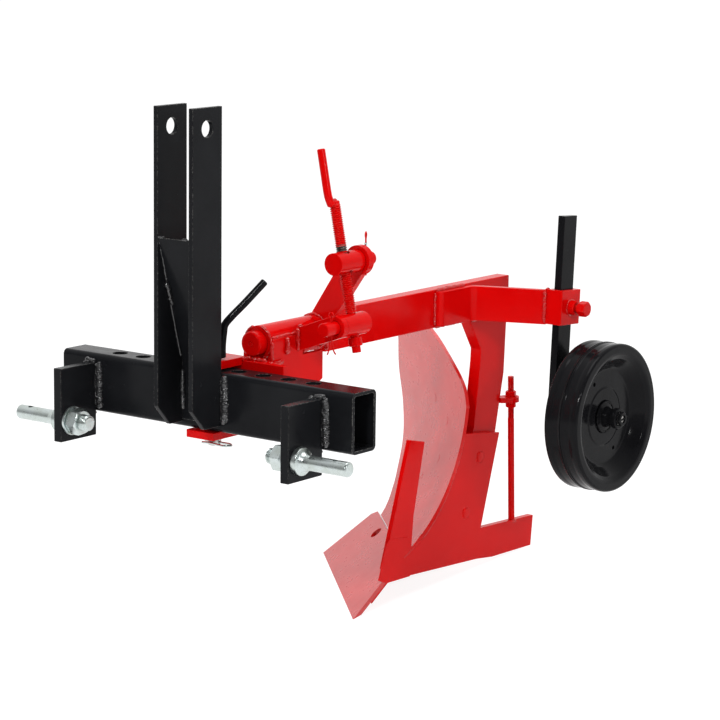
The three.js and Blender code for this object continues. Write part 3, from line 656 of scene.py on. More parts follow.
def rod(points: Sequence[Point], diameter: float, step: float = 1.5,
        sides: int = 24) -> BMesh:
    """Bends a round rod through points, with rounded ends.

    Args:
        points: Points on its middle line.
        diameter: Rod diameter.
        step: Spacing of its rings.
        sides: Faces round it.

    Returns:
        The rod.
    """
    path = spline(points, step)
    total = sum((b - a).length for a, b in zip(path, path[1:]))
    nose = 0.12 * diameter

    def radius(at: float, _share: float) -> float:
        """Radius that draws in over the last stretch."""
        near = min(at, total - at) / nose
        return diameter / 2 * (1.0 if near >= 1 else 0.75 + 0.25 * math.sqrt(
            max(0.0, near * (2 - near))))

    return sweep(path, radius, sides)


def bead(points: Sequence[Point], width: float, seed: float = 0.0,
         ripple: float = 2.4) -> BMesh:
    """Lays a weld bead through points.

    Args:
        points: Points on the seam.
        width: Width of the bead.
        seed: Place in the noise, so that beads differ.
        ripple: Pitch of the ripples.

    Returns:
        The bead.
    """
    path = spline(points, 0.6)
    for i, here in enumerate(path):
        here += noise.noise_vector(here * 0.16 + Vector((seed, i * 0.01, 0))) * width * 0.09
    total = sum((b - a).length for a, b in zip(path, path[1:]))

    def radius(at: float, share: float) -> float:
        """Radius with ripples, lumps and drawn-in ends."""
        near = min(1.0, min(at, total - at) / (0.55 * width))
        cap = math.sqrt(max(0.0, near * (2 - near)))
        phase = (at / ripple + 0.18 * math.sin(share * math.tau)) % 1.0
        wave = 0.05 * (1 - (2 * phase - 1) ** 2)
        lump = 0.26 * noise.noise(Vector((at * 0.21, seed + 3.1, share)))
        grain = 0.22 * noise.noise(Vector((at * 0.8, seed, share * 5)))
        return width / 2 * cap * (0.9 + wave + lump + grain)

    return sweep(path, radius, 12)


def thread(start: Point, end: Point, diameter: float, pitch: float,
           sides: int = 32) -> BMesh:
    """Cuts a screw thread on a rod.

    Args:
        start: One end of the rod.
        end: Other end of the rod.
        diameter: Outer diameter.
        pitch: Rise of one turn.
        sides: Faces round it.

    Returns:
        The threaded rod.
    """
    a, b = Vector(start), Vector(end)
    length = (b - a).length
    count = max(4, int(length / pitch * 8))
    path = [a.lerp(b, i / count) for i in range(count + 1)]
    depth = 0.55 * pitch

    def radius(at: float, share: float) -> float:
        """Radius of a ridge that climbs once a turn."""
        phase = (at / pitch - share) % 1.0
        ridge = min(1.0, max(0.0, 1.35 - abs(2 * phase - 1) * 1.7))
        lead = min(1.0, min(at, length - at) / pitch)
        return diameter / 2 - depth * (1 - ridge * lead) * (0.35 + 0.65 * lead) - 0.04

    return sweep(path, radius, sides)


def ring(centre: Point, axis: Point, radius: float, start: float = 0.0,
         end: float = 360.0, count: int = 20) -> list[Point]:
    """Lists points on a circle or an arc about an axis, angles in degrees."""
    spot = aim(centre, axis)
    angles = [math.radians(start + (end - start) * i / count) for i in range(count + 1)]
    return [tuple(spot @ Vector((radius * math.cos(t), radius * math.sin(t), 0.0)))
            for t in angles]


def piece(bm: BMesh, name: str, body: Body, slot: Slot, place: Matrix = METRES,
          replaces: Sequence[str] = (), finish: Optional[Finish] = None,
          sharp: float = 38.0) -> Object:
    """Turns a mesh into a finished piece on its body.

    Args:
        bm: Mesh of the piece; it is freed.
        name: Name of the piece.
        body: Body that it moves with.
        slot: Material slot of the record.
        place: Matrix from the mesh's frame to metres.
        replaces: CAD nodes that it stands for.
        finish: Finish, or None for the slot's own.
        sharp: Edges that turn by more than this many degrees stay sharp.

    Returns:
        The piece.
    """
    bmesh.ops.transform(bm, matrix=place, verts=bm.verts[:])
    for face in bm.faces:
        face.smooth = True
    mesh = bpy.data.meshes.new(name)
    bm.to_mesh(mesh)
    bm.free()
    mesh.set_sharp_from_angle(angle=math.radians(sharp))
    thing = bpy.data.objects.new(name, mesh)
    bpy.context.scene.collection.objects.link(thing)
    weighted = thing.modifiers.new("even_shading", "WEIGHTED_NORMAL")
    weighted.keep_sharp = True
    mesh.materials.append((finish or SLOT_FINISH[slot]).material())
    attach(thing, body.value)
    if replaces:
        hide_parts(*replaces)
    log.info("%s: %d faces on %s", name, len(mesh.polygons), body.value)
    return thing


def welds(beads: Iterable[BMesh], name: str, body: Body, slot: Slot = Slot.RED,
          place: Matrix = IMPLEMENT, finish: Finish = RED_WELD) -> Object:
    """Turns weld beads into one piece.

    Args:
        beads: The beads; they are freed.
        name: Name of the piece.
        body: Body that it moves with.
        slot: Material slot of the record.
        place: Matrix from the beads' frame to metres.
        finish: Finish of the beads.

    Returns:
        The piece.
    """
    return piece(gather(beads), name, body, slot, place, finish=finish, sharp=80)


def plate(node: str, body: Body, slot: Slot, width: float = 1.0,
          chosen: Optional[Callable[[Vector, Vector], bool]] = None,
          bend: float = 0.0) -> Object:
    """Finishes a cut steel plate from its CAD node, with eased edges.

    Args:
        node: CAD node that it stands for.
        body: Body that it moves with.
        slot: Material slot of the record.
        width: Setback of the eased edges, in millimetres.
        chosen: Test for the edges of a bend, or None.
        bend: Setback of the bend's edges, in millimetres.

    Returns:
        The piece.
    """
    bm = merged_node(node)
    if chosen is not None:
        ease(bm, bend * MM, segments=8, least=12.0, chosen=chosen)
        bmesh.ops.dissolve_limit(bm, angle_limit=math.radians(0.3), verts=bm.verts[:],
                                 use_dissolve_boundaries=False, edges=bm.edges[:],
                                 delimit=set())
    ease(bm, width * MM)
    return piece(bm, f"{node}_finished", body, slot, replaces=[node])


# ---------------------------------------------------------------- sub-assemblies


@dataclass
class Headstock:
    """Toolbar, mast and lower link pins."""

    mast_inner: float = 29.5
    mast_outer: float = 37.5
    mast_front: float = 66.0
    brace_top: float = 293.0
    brace_knee: float = 106.0
    plate_inner: float = 212.0
    plate_outer: float = 227.0
    pin_forward: float = 56.0
    pin_height: float = -5.0
    pin_end: float = 319.0
    pin_radius: float = 11.0
    flange_radius: float = 20.5
    thread_diameter: float = 24.0
    nut_across: float = 36.0

    def build(self) -> None:
        """Builds the frame, the pins and their welds."""
        for node in ("toolbar", "mast_brace"):
            plate(node, Body.HEADSTOCK, Slot.FRAME, 0.7)
        for side in ("left", "right"):
            plate(f"mast_flat_{side}", Body.HEADSTOCK, Slot.FRAME, 1.0)
            plate(f"link_plate_{side}", Body.HEADSTOCK, Slot.FRAME, 1.3)
        self.build_pin("left", 1)
        self.build_pin("right", -1)
        self.build_welds()

    def build_pin(self, side: str, sign: int) -> None:
        """Builds one link pin with its washer and nut.

        Args:
            side: Which side, for the names.
            sign: Sign of X on that side.
        """
        axis = (sign, 0.0, 0.0)
        origin = (0.0, -self.pin_forward, self.pin_height)
        flange = self.plate_outer + 0.3
        radius = self.pin_radius
        body = lathe([
            (self.plate_inner - 37.6, 0.0), (self.plate_inner - 37.6, 9.6),
            (self.plate_inner - 36.4, 10.8),
            (flange, 11.0), (flange, self.flange_radius), (flange + 9, self.flange_radius),
            (flange + 11, radius + 4.2), (flange + 16, radius + 1.6),
            (flange + 24, radius), (self.pin_end - 2.2, radius),
            (self.pin_end, radius - 2.2), (self.pin_end, 0.0),
        ], origin, axis, round_by=1.0, steps=72)
        hole = sign * (self.pin_end - 24)
        body = drill(body, (hole, -self.pin_forward, self.pin_height - 20),
                     (hole, -self.pin_forward, self.pin_height + 20), 10.0)
        cut = thread(self.on_pin(sign * (flange - 51.8)), self.on_pin(sign * (flange - 12)),
                     self.thread_diameter, 3.0, 48)
        piece(gather([body, cut]), f"link_pin_{side}", Body.HEADSTOCK, Slot.ZINC, IMPLEMENT,
              [f"lower_link_pin_{side}"])
        seat = self.plate_inner - 0.3
        washer = lathe([(0, 12.4), (0, 22), (4, 22), (4, 12.4), (0, 12.4)],
                       self.on_pin(sign * seat), (-sign, 0, 0), steps=64)
        ease(washer, 0.5, 2)
        nut = hexagon(self.nut_across, 19.5, self.on_pin(sign * (seat - 4.1)),
                      (-sign, 0, 0), bore=24.6, turn=8)
        piece(gather([washer, nut]), f"link_nut_{side}", Body.HEADSTOCK, Slot.ZINC,
              IMPLEMENT, [f"pin_nut_{side}"], sharp=30)

    def on_pin(self, x: float) -> Point:
        """Point on the axis of the link pins."""
        return (x, -self.pin_forward, self.pin_height)

    def build_welds(self) -> None:
        """Lays the welds of the mast, the brace and the link plates, mirrored in X."""
        out, inside = self.mast_outer + 0.8, self.mast_inner - 0.6
        front, top = self.mast_front, self.brace_top
        inner, outer = self.plate_inner, self.plate_outer
        mast = [
            ([(out + 4.4, 1.0, 14), (out + 4.8, 1.0, 50), (out + 4.2, 1.0, 87)], 15.0, 0, 3.4),
            ([(out + 1.2, -2.2, 18), (out + 1.0, -2.0, 52), (out + 0.8, -2.0, 84)],
             7.0, 41, 2.6),
            ([(31, 0.5, 91), (36, 0.5, 91)], 4.5, 7, 2.4),
            ([(inside, -front + 3, top - 2), (inside, -40, 202),
              (inside, -14.5, self.brace_knee + 4)], 4.6, 2, 2.4),
            ([(27, -49, 226), (26.4, -42, 205), (27, -36, 190)], 9.0, 31, 3.2),
            ([(26.6, -12.5, 92), (26.2, -13.5, 60), (26.6, -12.5, 30)], 9.0, 33, 3.2),
            ([(28, -front - 0.2, top + 0.8), (17, -front + 0.3, top + 0.5)], 4.4, 4, 2.4),
        ]
        link = [([(inner, -1.4, 78), (outer + 6, -1.4, 80)], 9.0, 11, 3.0),
                ([(inner + 1, 1, -1.5), (outer - 1, 1, -1.5)], 5.0, 13, 2.4)]
        beads = []
        for sign in (1, -1):
            rows = [(points, width, sign + seed, ripple)
                    for points, width, seed, ripple in mast]
            for x, away, seed in ((inner - 0.8, -4.6, 5), (outer + 0.8, 4.6, 6)):
                rows.append(([(x + away, 1.0, 5), (x + away, 1.0, 40),
                              (x + away * 0.9, 1.0, 79)], 15.0, sign * seed, 3.4))
                rows.append(([(x + away * 0.2, -2.4, 8), (x + away * 0.1, -2.0, 44),
                              (x + away * 0.3, -2.2, 76)], 7.0, sign * seed + 43, 2.6))
            rows += [(points, width, sign + seed, ripple)
                     for points, width, seed, ripple in link]
            beads += [bead([(sign * x, y, z) for x, y, z in points], width, seed, ripple)
                      for points, width, seed, ripple in rows]
        welds(beads, "headstock_welds", Body.HEADSTOCK, Slot.FRAME, finish=BLACK_WELD)


@dataclass
class Yoke:
    """Clasp round the toolbar, the sleeve of the roll pivot and the hitch pin."""

    pivot_x: float = 35.0
    pivot_z: float = 124.5
    sleeve_start: float = 88.0
    sleeve_end: float = 204.0
    sleeve_radius: float = 25.5
    shaft_radius: float = 15.0
    pin_y: float = 28.0
    pin_radius: float = 10.75
    pin_foot: float = -27.0
    shoulder: float = 105.0
    handle: float = 11.5
    clip_wire: float = 3.6
    clip_height: float = 5.0

    def build(self) -> None:
        """Builds the plates, the sleeve, the pin and the welds."""
        for node in ("yoke_top_plate", "yoke_bottom_plate", "yoke_back_plate"):
            plate(node, Body.HEADSTOCK, Slot.RED, 1.2)
        for node in ("yoke_cheek_left", "yoke_cheek_right"):
            plate(node, Body.HEADSTOCK, Slot.RED, 1.1)
        plate("swivel_lug", Body.HEADSTOCK, Slot.RED, 1.4)
        bore = self.shaft_radius + 0.5
        length = self.sleeve_end - self.sleeve_start
        sleeve = lathe([(0, bore), (0, self.sleeve_radius), (length, self.sleeve_radius),
                        (length, bore), (0, bore)],
                       (self.pivot_x, self.sleeve_start, self.pivot_z), ALONG, steps=96)
        ease(sleeve, 1.1)
        piece(sleeve, "roll_sleeve", Body.HEADSTOCK, Slot.RED, IMPLEMENT, ["pivot_sleeve"])
        self.build_pin()
        self.build_welds()

    def build_pin(self) -> None:
        """Builds the hitch pin, its handle and its clip."""
        origin = (0.0, self.pin_y, 0.0)
        top = self.shoulder + 16
        collar = self.pin_foot + 13.2
        stem = lathe([(collar, 0), (collar, self.pin_radius), (top, self.pin_radius),
                      (top, 0)], origin, UP, round_by=0.8)
        z = self.pin_foot + self.clip_height
        tip = lathe([(self.pin_foot, 0), (self.pin_foot, 8.2), (self.pin_foot + 2.4, 10.7),
                     (collar - 0.05, 10.7), (collar - 0.05, 0)], origin, UP, round_by=0.8)
        tip = drill(tip, (-20, self.pin_y, z), (20, self.pin_y, z), 5.0, 24)
        piece(tip, "hitch_pin_tip", Body.HEADSTOCK, Slot.STEEL, IMPLEMENT)
        x = (2 * self.pin_radius + self.handle) / 2 - 1.5
        handle = rod([(x, self.pin_y, self.shoulder + 2), (x, self.pin_y, self.shoulder + 20),
                      (x + 1.5, self.pin_y + 1, self.shoulder + 40),
                      (x + 2.8, self.pin_y + 3, self.shoulder + 52),
                      (x + 9, self.pin_y + 11, self.shoulder + 64),
                      (x + 20, self.pin_y + 26, self.shoulder + 82),
                      (x + 31, self.pin_y + 41, self.shoulder + 101),
                      (x + 39, self.pin_y + 52, self.shoulder + 115)], self.handle)
        seams = [bead([(x - 6.2, self.pin_y + s * 4.6, self.shoulder + 3),
                       (x - 6.2, self.pin_y + s * 4.6, top - 1)], 4.2, s) for s in (1, -1)]
        piece(gather([stem, handle, *seams]), "hitch_pin_with_handle", Body.HEADSTOCK,
              Slot.BLACK, IMPLEMENT, ["hitch_pin"])
        r, y = self.pin_radius, self.pin_y
        clip = rod([(-r - 7, y, z), (0, y, z), (r + 6, y, z), (r + 20, y, z),
                    (r + 28, y - 8, z), (r + 20, y - 16, z), (r, y - 14, z),
                    (-2, y - 12.9, z), (-r, y - 16, z)], self.clip_wire, 0.8, 16)
        piece(clip, "pin_clip", Body.HEADSTOCK, Slot.ZINC, IMPLEMENT, ["hitch_pin_clip"])

    def build_welds(self) -> None:
        """Lays the welds of the yoke."""
        lip = ((self.pivot_x, self.sleeve_start - 0.2, self.pivot_z), ALONG,
               self.sleeve_radius - 0.6)
        beads = [
            bead([(-27, 59, 101.5), (-27.4, 66, 101), (-33, 69, 101)], 7.5, 1),
            bead([(27, 60, 101.5), (27.2, 66, 101), (31, 70, 101)], 7.5, 2),
            bead([(-25, 72.6, 101), (-4, 72.6, 101.4)], 6.5, 3),
            bead([(-24, 62, -2.2), (0, 61, -2.4), (24, 62, -2.2)], 6.0, 4),
            bead([(65, 72.6, 10), (65.2, 72.8, 50), (65, 72.6, 97)], 6.6, 5),
            bead([(5, 72.6, 10), (4.8, 72.8, 50), (5, 72.6, 97)], 6.6, 6),
            bead([(60.4, 90, 132.6), (60.0, 124, 133.2), (60.4, 158, 132.6)], 6.2, 7),
            bead([(9.6, 90, 132.6), (10.0, 124, 133.2), (9.6, 158, 132.6)], 6.2, 8),
            bead([(62.6, 86.9, 128), (61.5, 86.6, 112), (63, 86.9, 98)], 6.6, 17, 3.2),
            bead([(65.2, 119, 131), (66.0, 120, 119), (65.2, 119, 106)], 9.0, 18, 3.2),
            bead([(61.2, 162, 104), (61, 184, 106), (60.6, 203, 104)], 6.5, 9),
            bead([(8.8, 162, 104), (9, 184, 106), (9.4, 203, 104)], 6.5, 10),
            bead(ring(*lip, -75, 65), 5.2, 11),
            bead(ring(*lip, 120, 250), 5.2, 12),
            bead([(65.6, 145, 108), (66.2, 144.6, 124), (65.4, 145, 142)], 8.2, 13, 3.4),
            bead([(65.6, 158, 108), (66.0, 158.2, 124), (65.4, 158, 142)], 7.0, 14, 3.2),
            bead([(65, 147, 144), (64.8, 152, 144.6), (65, 157, 144)], 6.0, 15),
            bead([(36, 71.5, 100.4), (46, 73, 101.4), (56, 72, 100.6), (63, 74, 101)],
                 9.5, 19, 3.6),
            bead([(58, 70.6, 97), (62, 70.8, 88), (60, 70.8, 80)], 8.6, 20, 3.6),
            bead([(66, 76, 97), (66.4, 90, 95), (66, 108, 97)], 8.0, 21, 3.4),
            bead([(30, 68, 102.6), (38, 69, 103.4)], 7.0, 22, 3.2),
        ]
        welds(beads, "yoke_welds", Body.HEADSTOCK)


@dataclass
class TiltLinkage:
    """Roll shaft, tilt arm, the two trunnions, the screw and its crank."""

    pivot_x: float = 35.0
    pivot_z: float = 124.5
    arm_front: float = 224.0
    arm_rear: float = 236.0
    lower: Row = (134.5, 150.0)
    upper: Row = (116.0, 241.5)
    screw_y: float = 190.0
    barrel_radius: float = 17.0
    shank_radius: float = 10.5
    lower_front: float = 158.5
    upper_rear: float = 222.5
    barrel_length: float = 58.0
    screw_radius: float = 9.0
    end_radius: float = 6.75
    span: float = 93.35
    crank_start: float = 94.0
    crank_length: float = 79.5
    crank_radius: float = 6.25
    shaft_start: float = 69.0
    lower_cotter: float = 137.0
    upper_cotter: float = 245.0

    def build(self) -> None:
        """Builds the linkage and its welds."""
        start = self.shaft_start
        shaft = lathe([(0, 0), (0, 3.2), (3.0, 3.6), (3.2, 2.0), (0.1, 4.4), (0, 16.5),
                       (2, 18.5), (18, 18.5), (18, 15), (self.arm_rear - start + 1.5, 15),
                       (self.arm_rear - start + 1.5, 0)],
                      (self.pivot_x, start, self.pivot_z), ALONG, round_by=0.5, steps=80)
        piece(shaft, "roll_shaft", Body.BEAM, Slot.RED, IMPLEMENT, ["pivot_shaft"])
        plate("tilt_arm", Body.BEAM, Slot.RED, 1.1)
        self.build_trunnions()
        self.build_screw()
        hub = ring((self.pivot_x, self.arm_front - 1.4, self.pivot_z), ALONG, 26.0,
                   0, 360, 28)
        rear = self.arm_rear + 1.6
        beads = [bead(hub, 6.2, 3), bead([(48.8, rear, 94), (48.9, rear, 151)], 6.0, 4),
                 bead([(21.4, rear, 94), (21.3, rear, 151)], 6.0, 5),
                 bead([(26, rear, 154.8), (44, rear, 154.8)], 5.6, 6),
                 bead(ring((self.pivot_x, self.arm_rear + 0.4, self.pivot_z), ALONG,
                           15.0, 140, 400, 20), 3.6, 8)]
        welds(beads, "tilt_arm_welds", Body.BEAM)

    def along(self, distance: float, aside: float = 0.0) -> Point:
        """Point on the screw's axis.

        Args:
            distance: Distance above the lower trunnion.
            aside: Offset towards the rear.

        Returns:
            The point.
        """
        spot = Vector((self.lower[0], self.screw_y + aside, self.lower[1]))
        return tuple(spot + self.rise() * distance)

    def build_trunnions(self) -> None:
        """Builds both trunnions with their cotters."""
        x, z = self.lower
        front = self.lower_front - 41
        end = self.lower_front + self.barrel_length
        thick, thin = self.barrel_radius, self.shank_radius
        low = lathe([(front, 0), (front, thin - 1.2), (front + 1.2, thin),
                     (self.lower_front, thin), (self.lower_front, thick), (end, thick),
                     (end, 0)], (x, 0, z), ALONG, round_by=1.0, steps=72)
        low = drill(low, self.along(-60), self.along(60), 14.1)
        y = self.lower_cotter
        low = drill(low, (x, y, z - 20), (x, y, z + 20), 5.0, 20)
        piece(low, "screw_foot_trunnion", Body.SCREW, Slot.RED, IMPLEMENT,
              ["lower_trunnion"])
        x, z = self.upper
        begin = self.upper_rear - self.barrel_length
        rear = self.upper_rear + 37
        top = lathe([(begin, 0), (begin, thick), (self.upper_rear, thick),
                     (self.upper_rear, thin), (rear - 1.2, thin), (rear, thin - 1.2),
                     (rear, 0)], (x, 0, z), ALONG, round_by=1.0, steps=72)
        top = drill(top, self.along(40), self.along(150), 23.0)
        y = self.upper_cotter
        top = drill(top, (x, y, z - 20), (x, y, z + 20), 5.0, 20)
        piece(top, "screw_head_trunnion", Body.SWIVEL, Slot.RED, IMPLEMENT,
              ["upper_trunnion"])
        self.build_cotter("lower_cotter_pin", self.lower, self.lower_cotter, 13.0, 40.0,
                          0.0, Body.SCREW, "lower_cotter")
        self.build_cotter("upper_cotter_pin", self.upper, y, 30.0, 26.0, -68.0,
                          Body.SWIVEL, "upper_cotter")
        sleeve = rod([(x, y, z + 10.8), (x, y, z + 15), (x, y, z + 25.5)], 4.5, 0.8, 24)
        piece(sleeve, "upper_cotter_shank", Body.SWIVEL, Slot.ZINC, IMPLEMENT)

    def rise(self) -> Vector:
        """Direction of the screw."""
        return Vector((self.upper[0] - self.lower[0], 0.0,
                       self.upper[1] - self.lower[1])).normalized()

    def build_cotter(self, name: str, spot: Row, y: float, neck: float, drop: float,
                     angle: float, body: Body, node: str) -> None:
        """Builds a split cotter pin: a ring eye and two legs that are spread below.

        Args:
            name: Name of the piece.
            spot: X and Z of the shank's axis.
            y: Place along the shank.
            neck: Height of the eye's neck above the axis.
            drop: Reach of the legs below the axis.
            angle: Turn of the flat of the eye from X, in degrees.
            body: Body that it moves with.
            node: CAD node that it stands for.
        """
        x, z = spot
        foot, neck, eye = z - drop, z + neck, 3.9
        spread = (drop - 13.0) * 0.2
        flat = [(-1.2 - spread, foot), (-1.2 - spread * 0.4, foot + 9), (-1.15, z - 13),
                (-1.15, z), (-1.15, neck)]
        flat += [(eye * math.sin(math.radians(t)),
                  neck + 6.6 - 1.2 * eye * math.cos(math.radians(t)))
                 for t in range(-35, -330, -45)]
        flat += [(1.15, neck), (1.15, z), (1.15, z - 13), (1.4 + spread * 0.6, foot + 9),
                 (2.2 + spread * 1.3, foot + 2)]
        turn = math.radians(angle)
        points = [(x + a * math.cos(turn), y + a * math.sin(turn), h) for a, h in flat]
        piece(rod(points, 2.15, 0.6, 12), name, body, Slot.RED, IMPLEMENT, [node])

    def build_screw(self) -> None:
        """Builds the threaded spindle and its crank rod."""
        top = self.span + self.crank_start
        rise = tuple(self.rise())
        thin = self.end_radius
        foot = lathe([(-43, 0), (-43, thin - 0.85), (-42.1, thin), (-33, thin), (-33, 9.6),
                      (-32.2, 10.4), (-20.5, 10.4), (-19.7, 9.6), (-19.7, thin), (18, thin),
                      (18, 8), (20, 8), (20, 0)], self.along(0), rise, round_by=0.5, steps=48)
        bare = (self.span + 17.5, self.span + 24.5)
        wide = 2 * self.screw_radius
        lower = thread(self.along(18.3), self.along(bare[0]), wide, 3.2, 40)
        spindle = thread(self.along(bare[0] - 3), self.along(bare[1] + 3), 17.7, 3.2, 40)
        upper = thread(self.along(bare[1]), self.along(top - 6), wide, 3.2, 40)
        head = lathe([(top - 9, 0), (top - 9, 7.6), (top - 1.6, 7.6), (top, 6.2),
                      (top, 0)], self.along(0), rise, round_by=0.6, steps=48)
        beside = 1.5 - (2 * self.screw_radius + 2 * self.crank_radius) / 2
        crank = rod([self.along(top - 7, beside + 5.5), self.along(top - 2, beside + 3.4),
                     self.along(top + 6, beside + 0.9), self.along(top + 16, beside),
                     self.along(top + 45, beside),
                     self.along(top + self.crank_length, beside)], 2 * self.crank_radius,
                    1.2, 40)
        seams = [bead([self.along(top - 8, -6.5), self.along(top - 1, -5.0),
                       self.along(top + 1.0, 0.5), self.along(top - 1, 5.5)], 6.4, 2, 2.8)]
        piece(gather([head, crank, lower, upper]), "tilt_screw_crank", Body.SCREW, Slot.RED,
              IMPLEMENT, ["tilt_screw"], sharp=60)
        welds(seams, "crank_welds", Body.SCREW)
        piece(foot, "tilt_screw_foot", Body.SCREW, Slot.RED, IMPLEMENT)
        piece(spindle, "tilt_screw_thread", Body.SCREW, Slot.STEEL, IMPLEMENT, finish=OILED,
              sharp=60)


@dataclass
class BeamAndLeg:
    """Beam, leg, the wheel's arm, its post socket and clamp."""

    arm_front: float = 524.0
    arm_bend: float = 613.0
    beam_left: float = 47.5
    arm_top: float = 151.0
    arm_bottom: float = 94.0
    socket: Point = (190.0, 684.0, 122.5)
    socket_half: float = 15.5
    boss_length: float = 12.0
    clamp_radius: float = 7.0

    def build(self) -> None:
        """Builds the beam group."""
        plate("beam", Body.BEAM, Slot.RED, 1.8)
        plate("leg", Body.BEAM, Slot.RED, 1.3)
        low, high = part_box("wheel_arm")
        inner_x = high.x - 0.002

        def at_bend(a: Vector, b: Vector) -> bool:
            """Tells an upright edge at the arm's bend."""
            upright = abs((a - b).normalized().z) > 0.99
            return upright and low.x + 0.008 < max(a.x, b.x) < inner_x or (
                upright and a.x < low.x + 0.001 and a.y > low.y + 0.05)

        plate("wheel_arm", Body.BEAM, Slot.RED, 1.2, at_bend, 9.0)
        plate("post_socket", Body.BEAM, Slot.RED, 1.5)
        self.build_clamp()
        self.build_welds()

    def build_clamp(self) -> None:
        """Builds the clamp screw with its hexagon head."""
        x, y, z = self.socket
        reach = self.socket_half + self.boss_length
        stem = thread((x + 7, y, z), (x + reach + 6, y, z), 2 * self.clamp_radius, 2.0, 36)
        head = hexagon(22.3, 14.5, (x + reach + 6, y, z), ACROSS, turn=12)
        face = lathe([(0, 0), (0, 10.6), (0.7, 10.9), (0.7, 0)],
                     (x + reach + 5.6, y, z), ACROSS, steps=40)
        piece(gather([stem, head, face]), "post_clamp_screw", Body.BEAM, Slot.RED,
              IMPLEMENT, ["clamp_screw"], sharp=30)

    def build_welds(self) -> None:
        """Lays the welds of the beam, the leg and the wheel's arm."""
        x, left = self.beam_left, self.beam_left + 0.8
        y0, y1 = self.arm_front, self.arm_bend
        beads = [
            bead([(x, y0 + 2, self.arm_top + 0.8), (x, y0 + 45, self.arm_top + 1.2),
                  (x, y1 - 8, self.arm_top + 0.8)], 7.5, 1),
            bead([(x, y0 + 2, self.arm_bottom - 0.8), (x, y1 - 8, self.arm_bottom - 0.8)],
                 6.5, 2),
            bead([(left, y0 - 1, self.arm_bottom + 2), (left, y0 - 1, self.arm_top - 2)],
                 6.0, 3),
            bead([(left - 0.4, 628, 90.2), (left - 0.4, 680, 90.0), (left - 0.4, 731, 90.2)],
                 6.2, 4),
            bead([(26.2, 628, 90.2), (26.2, 680, 90.0), (26.2, 731, 90.2)], 6.2, 5),
            bead([(173.2, 656, 97), (173.4, 655.6, 122), (173.2, 656, 149)], 6.5, 6),
            bead([(173.2, 671.5, 97), (173.4, 672, 122), (173.2, 671.5, 149)], 6.5, 7),
            bead([(173.4, 659, 151.6), (173.4, 668, 151.6)], 6.2, 8),
            bead(ring((self.socket[0] + self.socket_half + 0.4, self.socket[1],
                       self.socket[2]), ACROSS, 12.6, 0, 360, 24), 3.6, 9),
        ]
        welds(beads, "beam_welds", Body.BEAM)


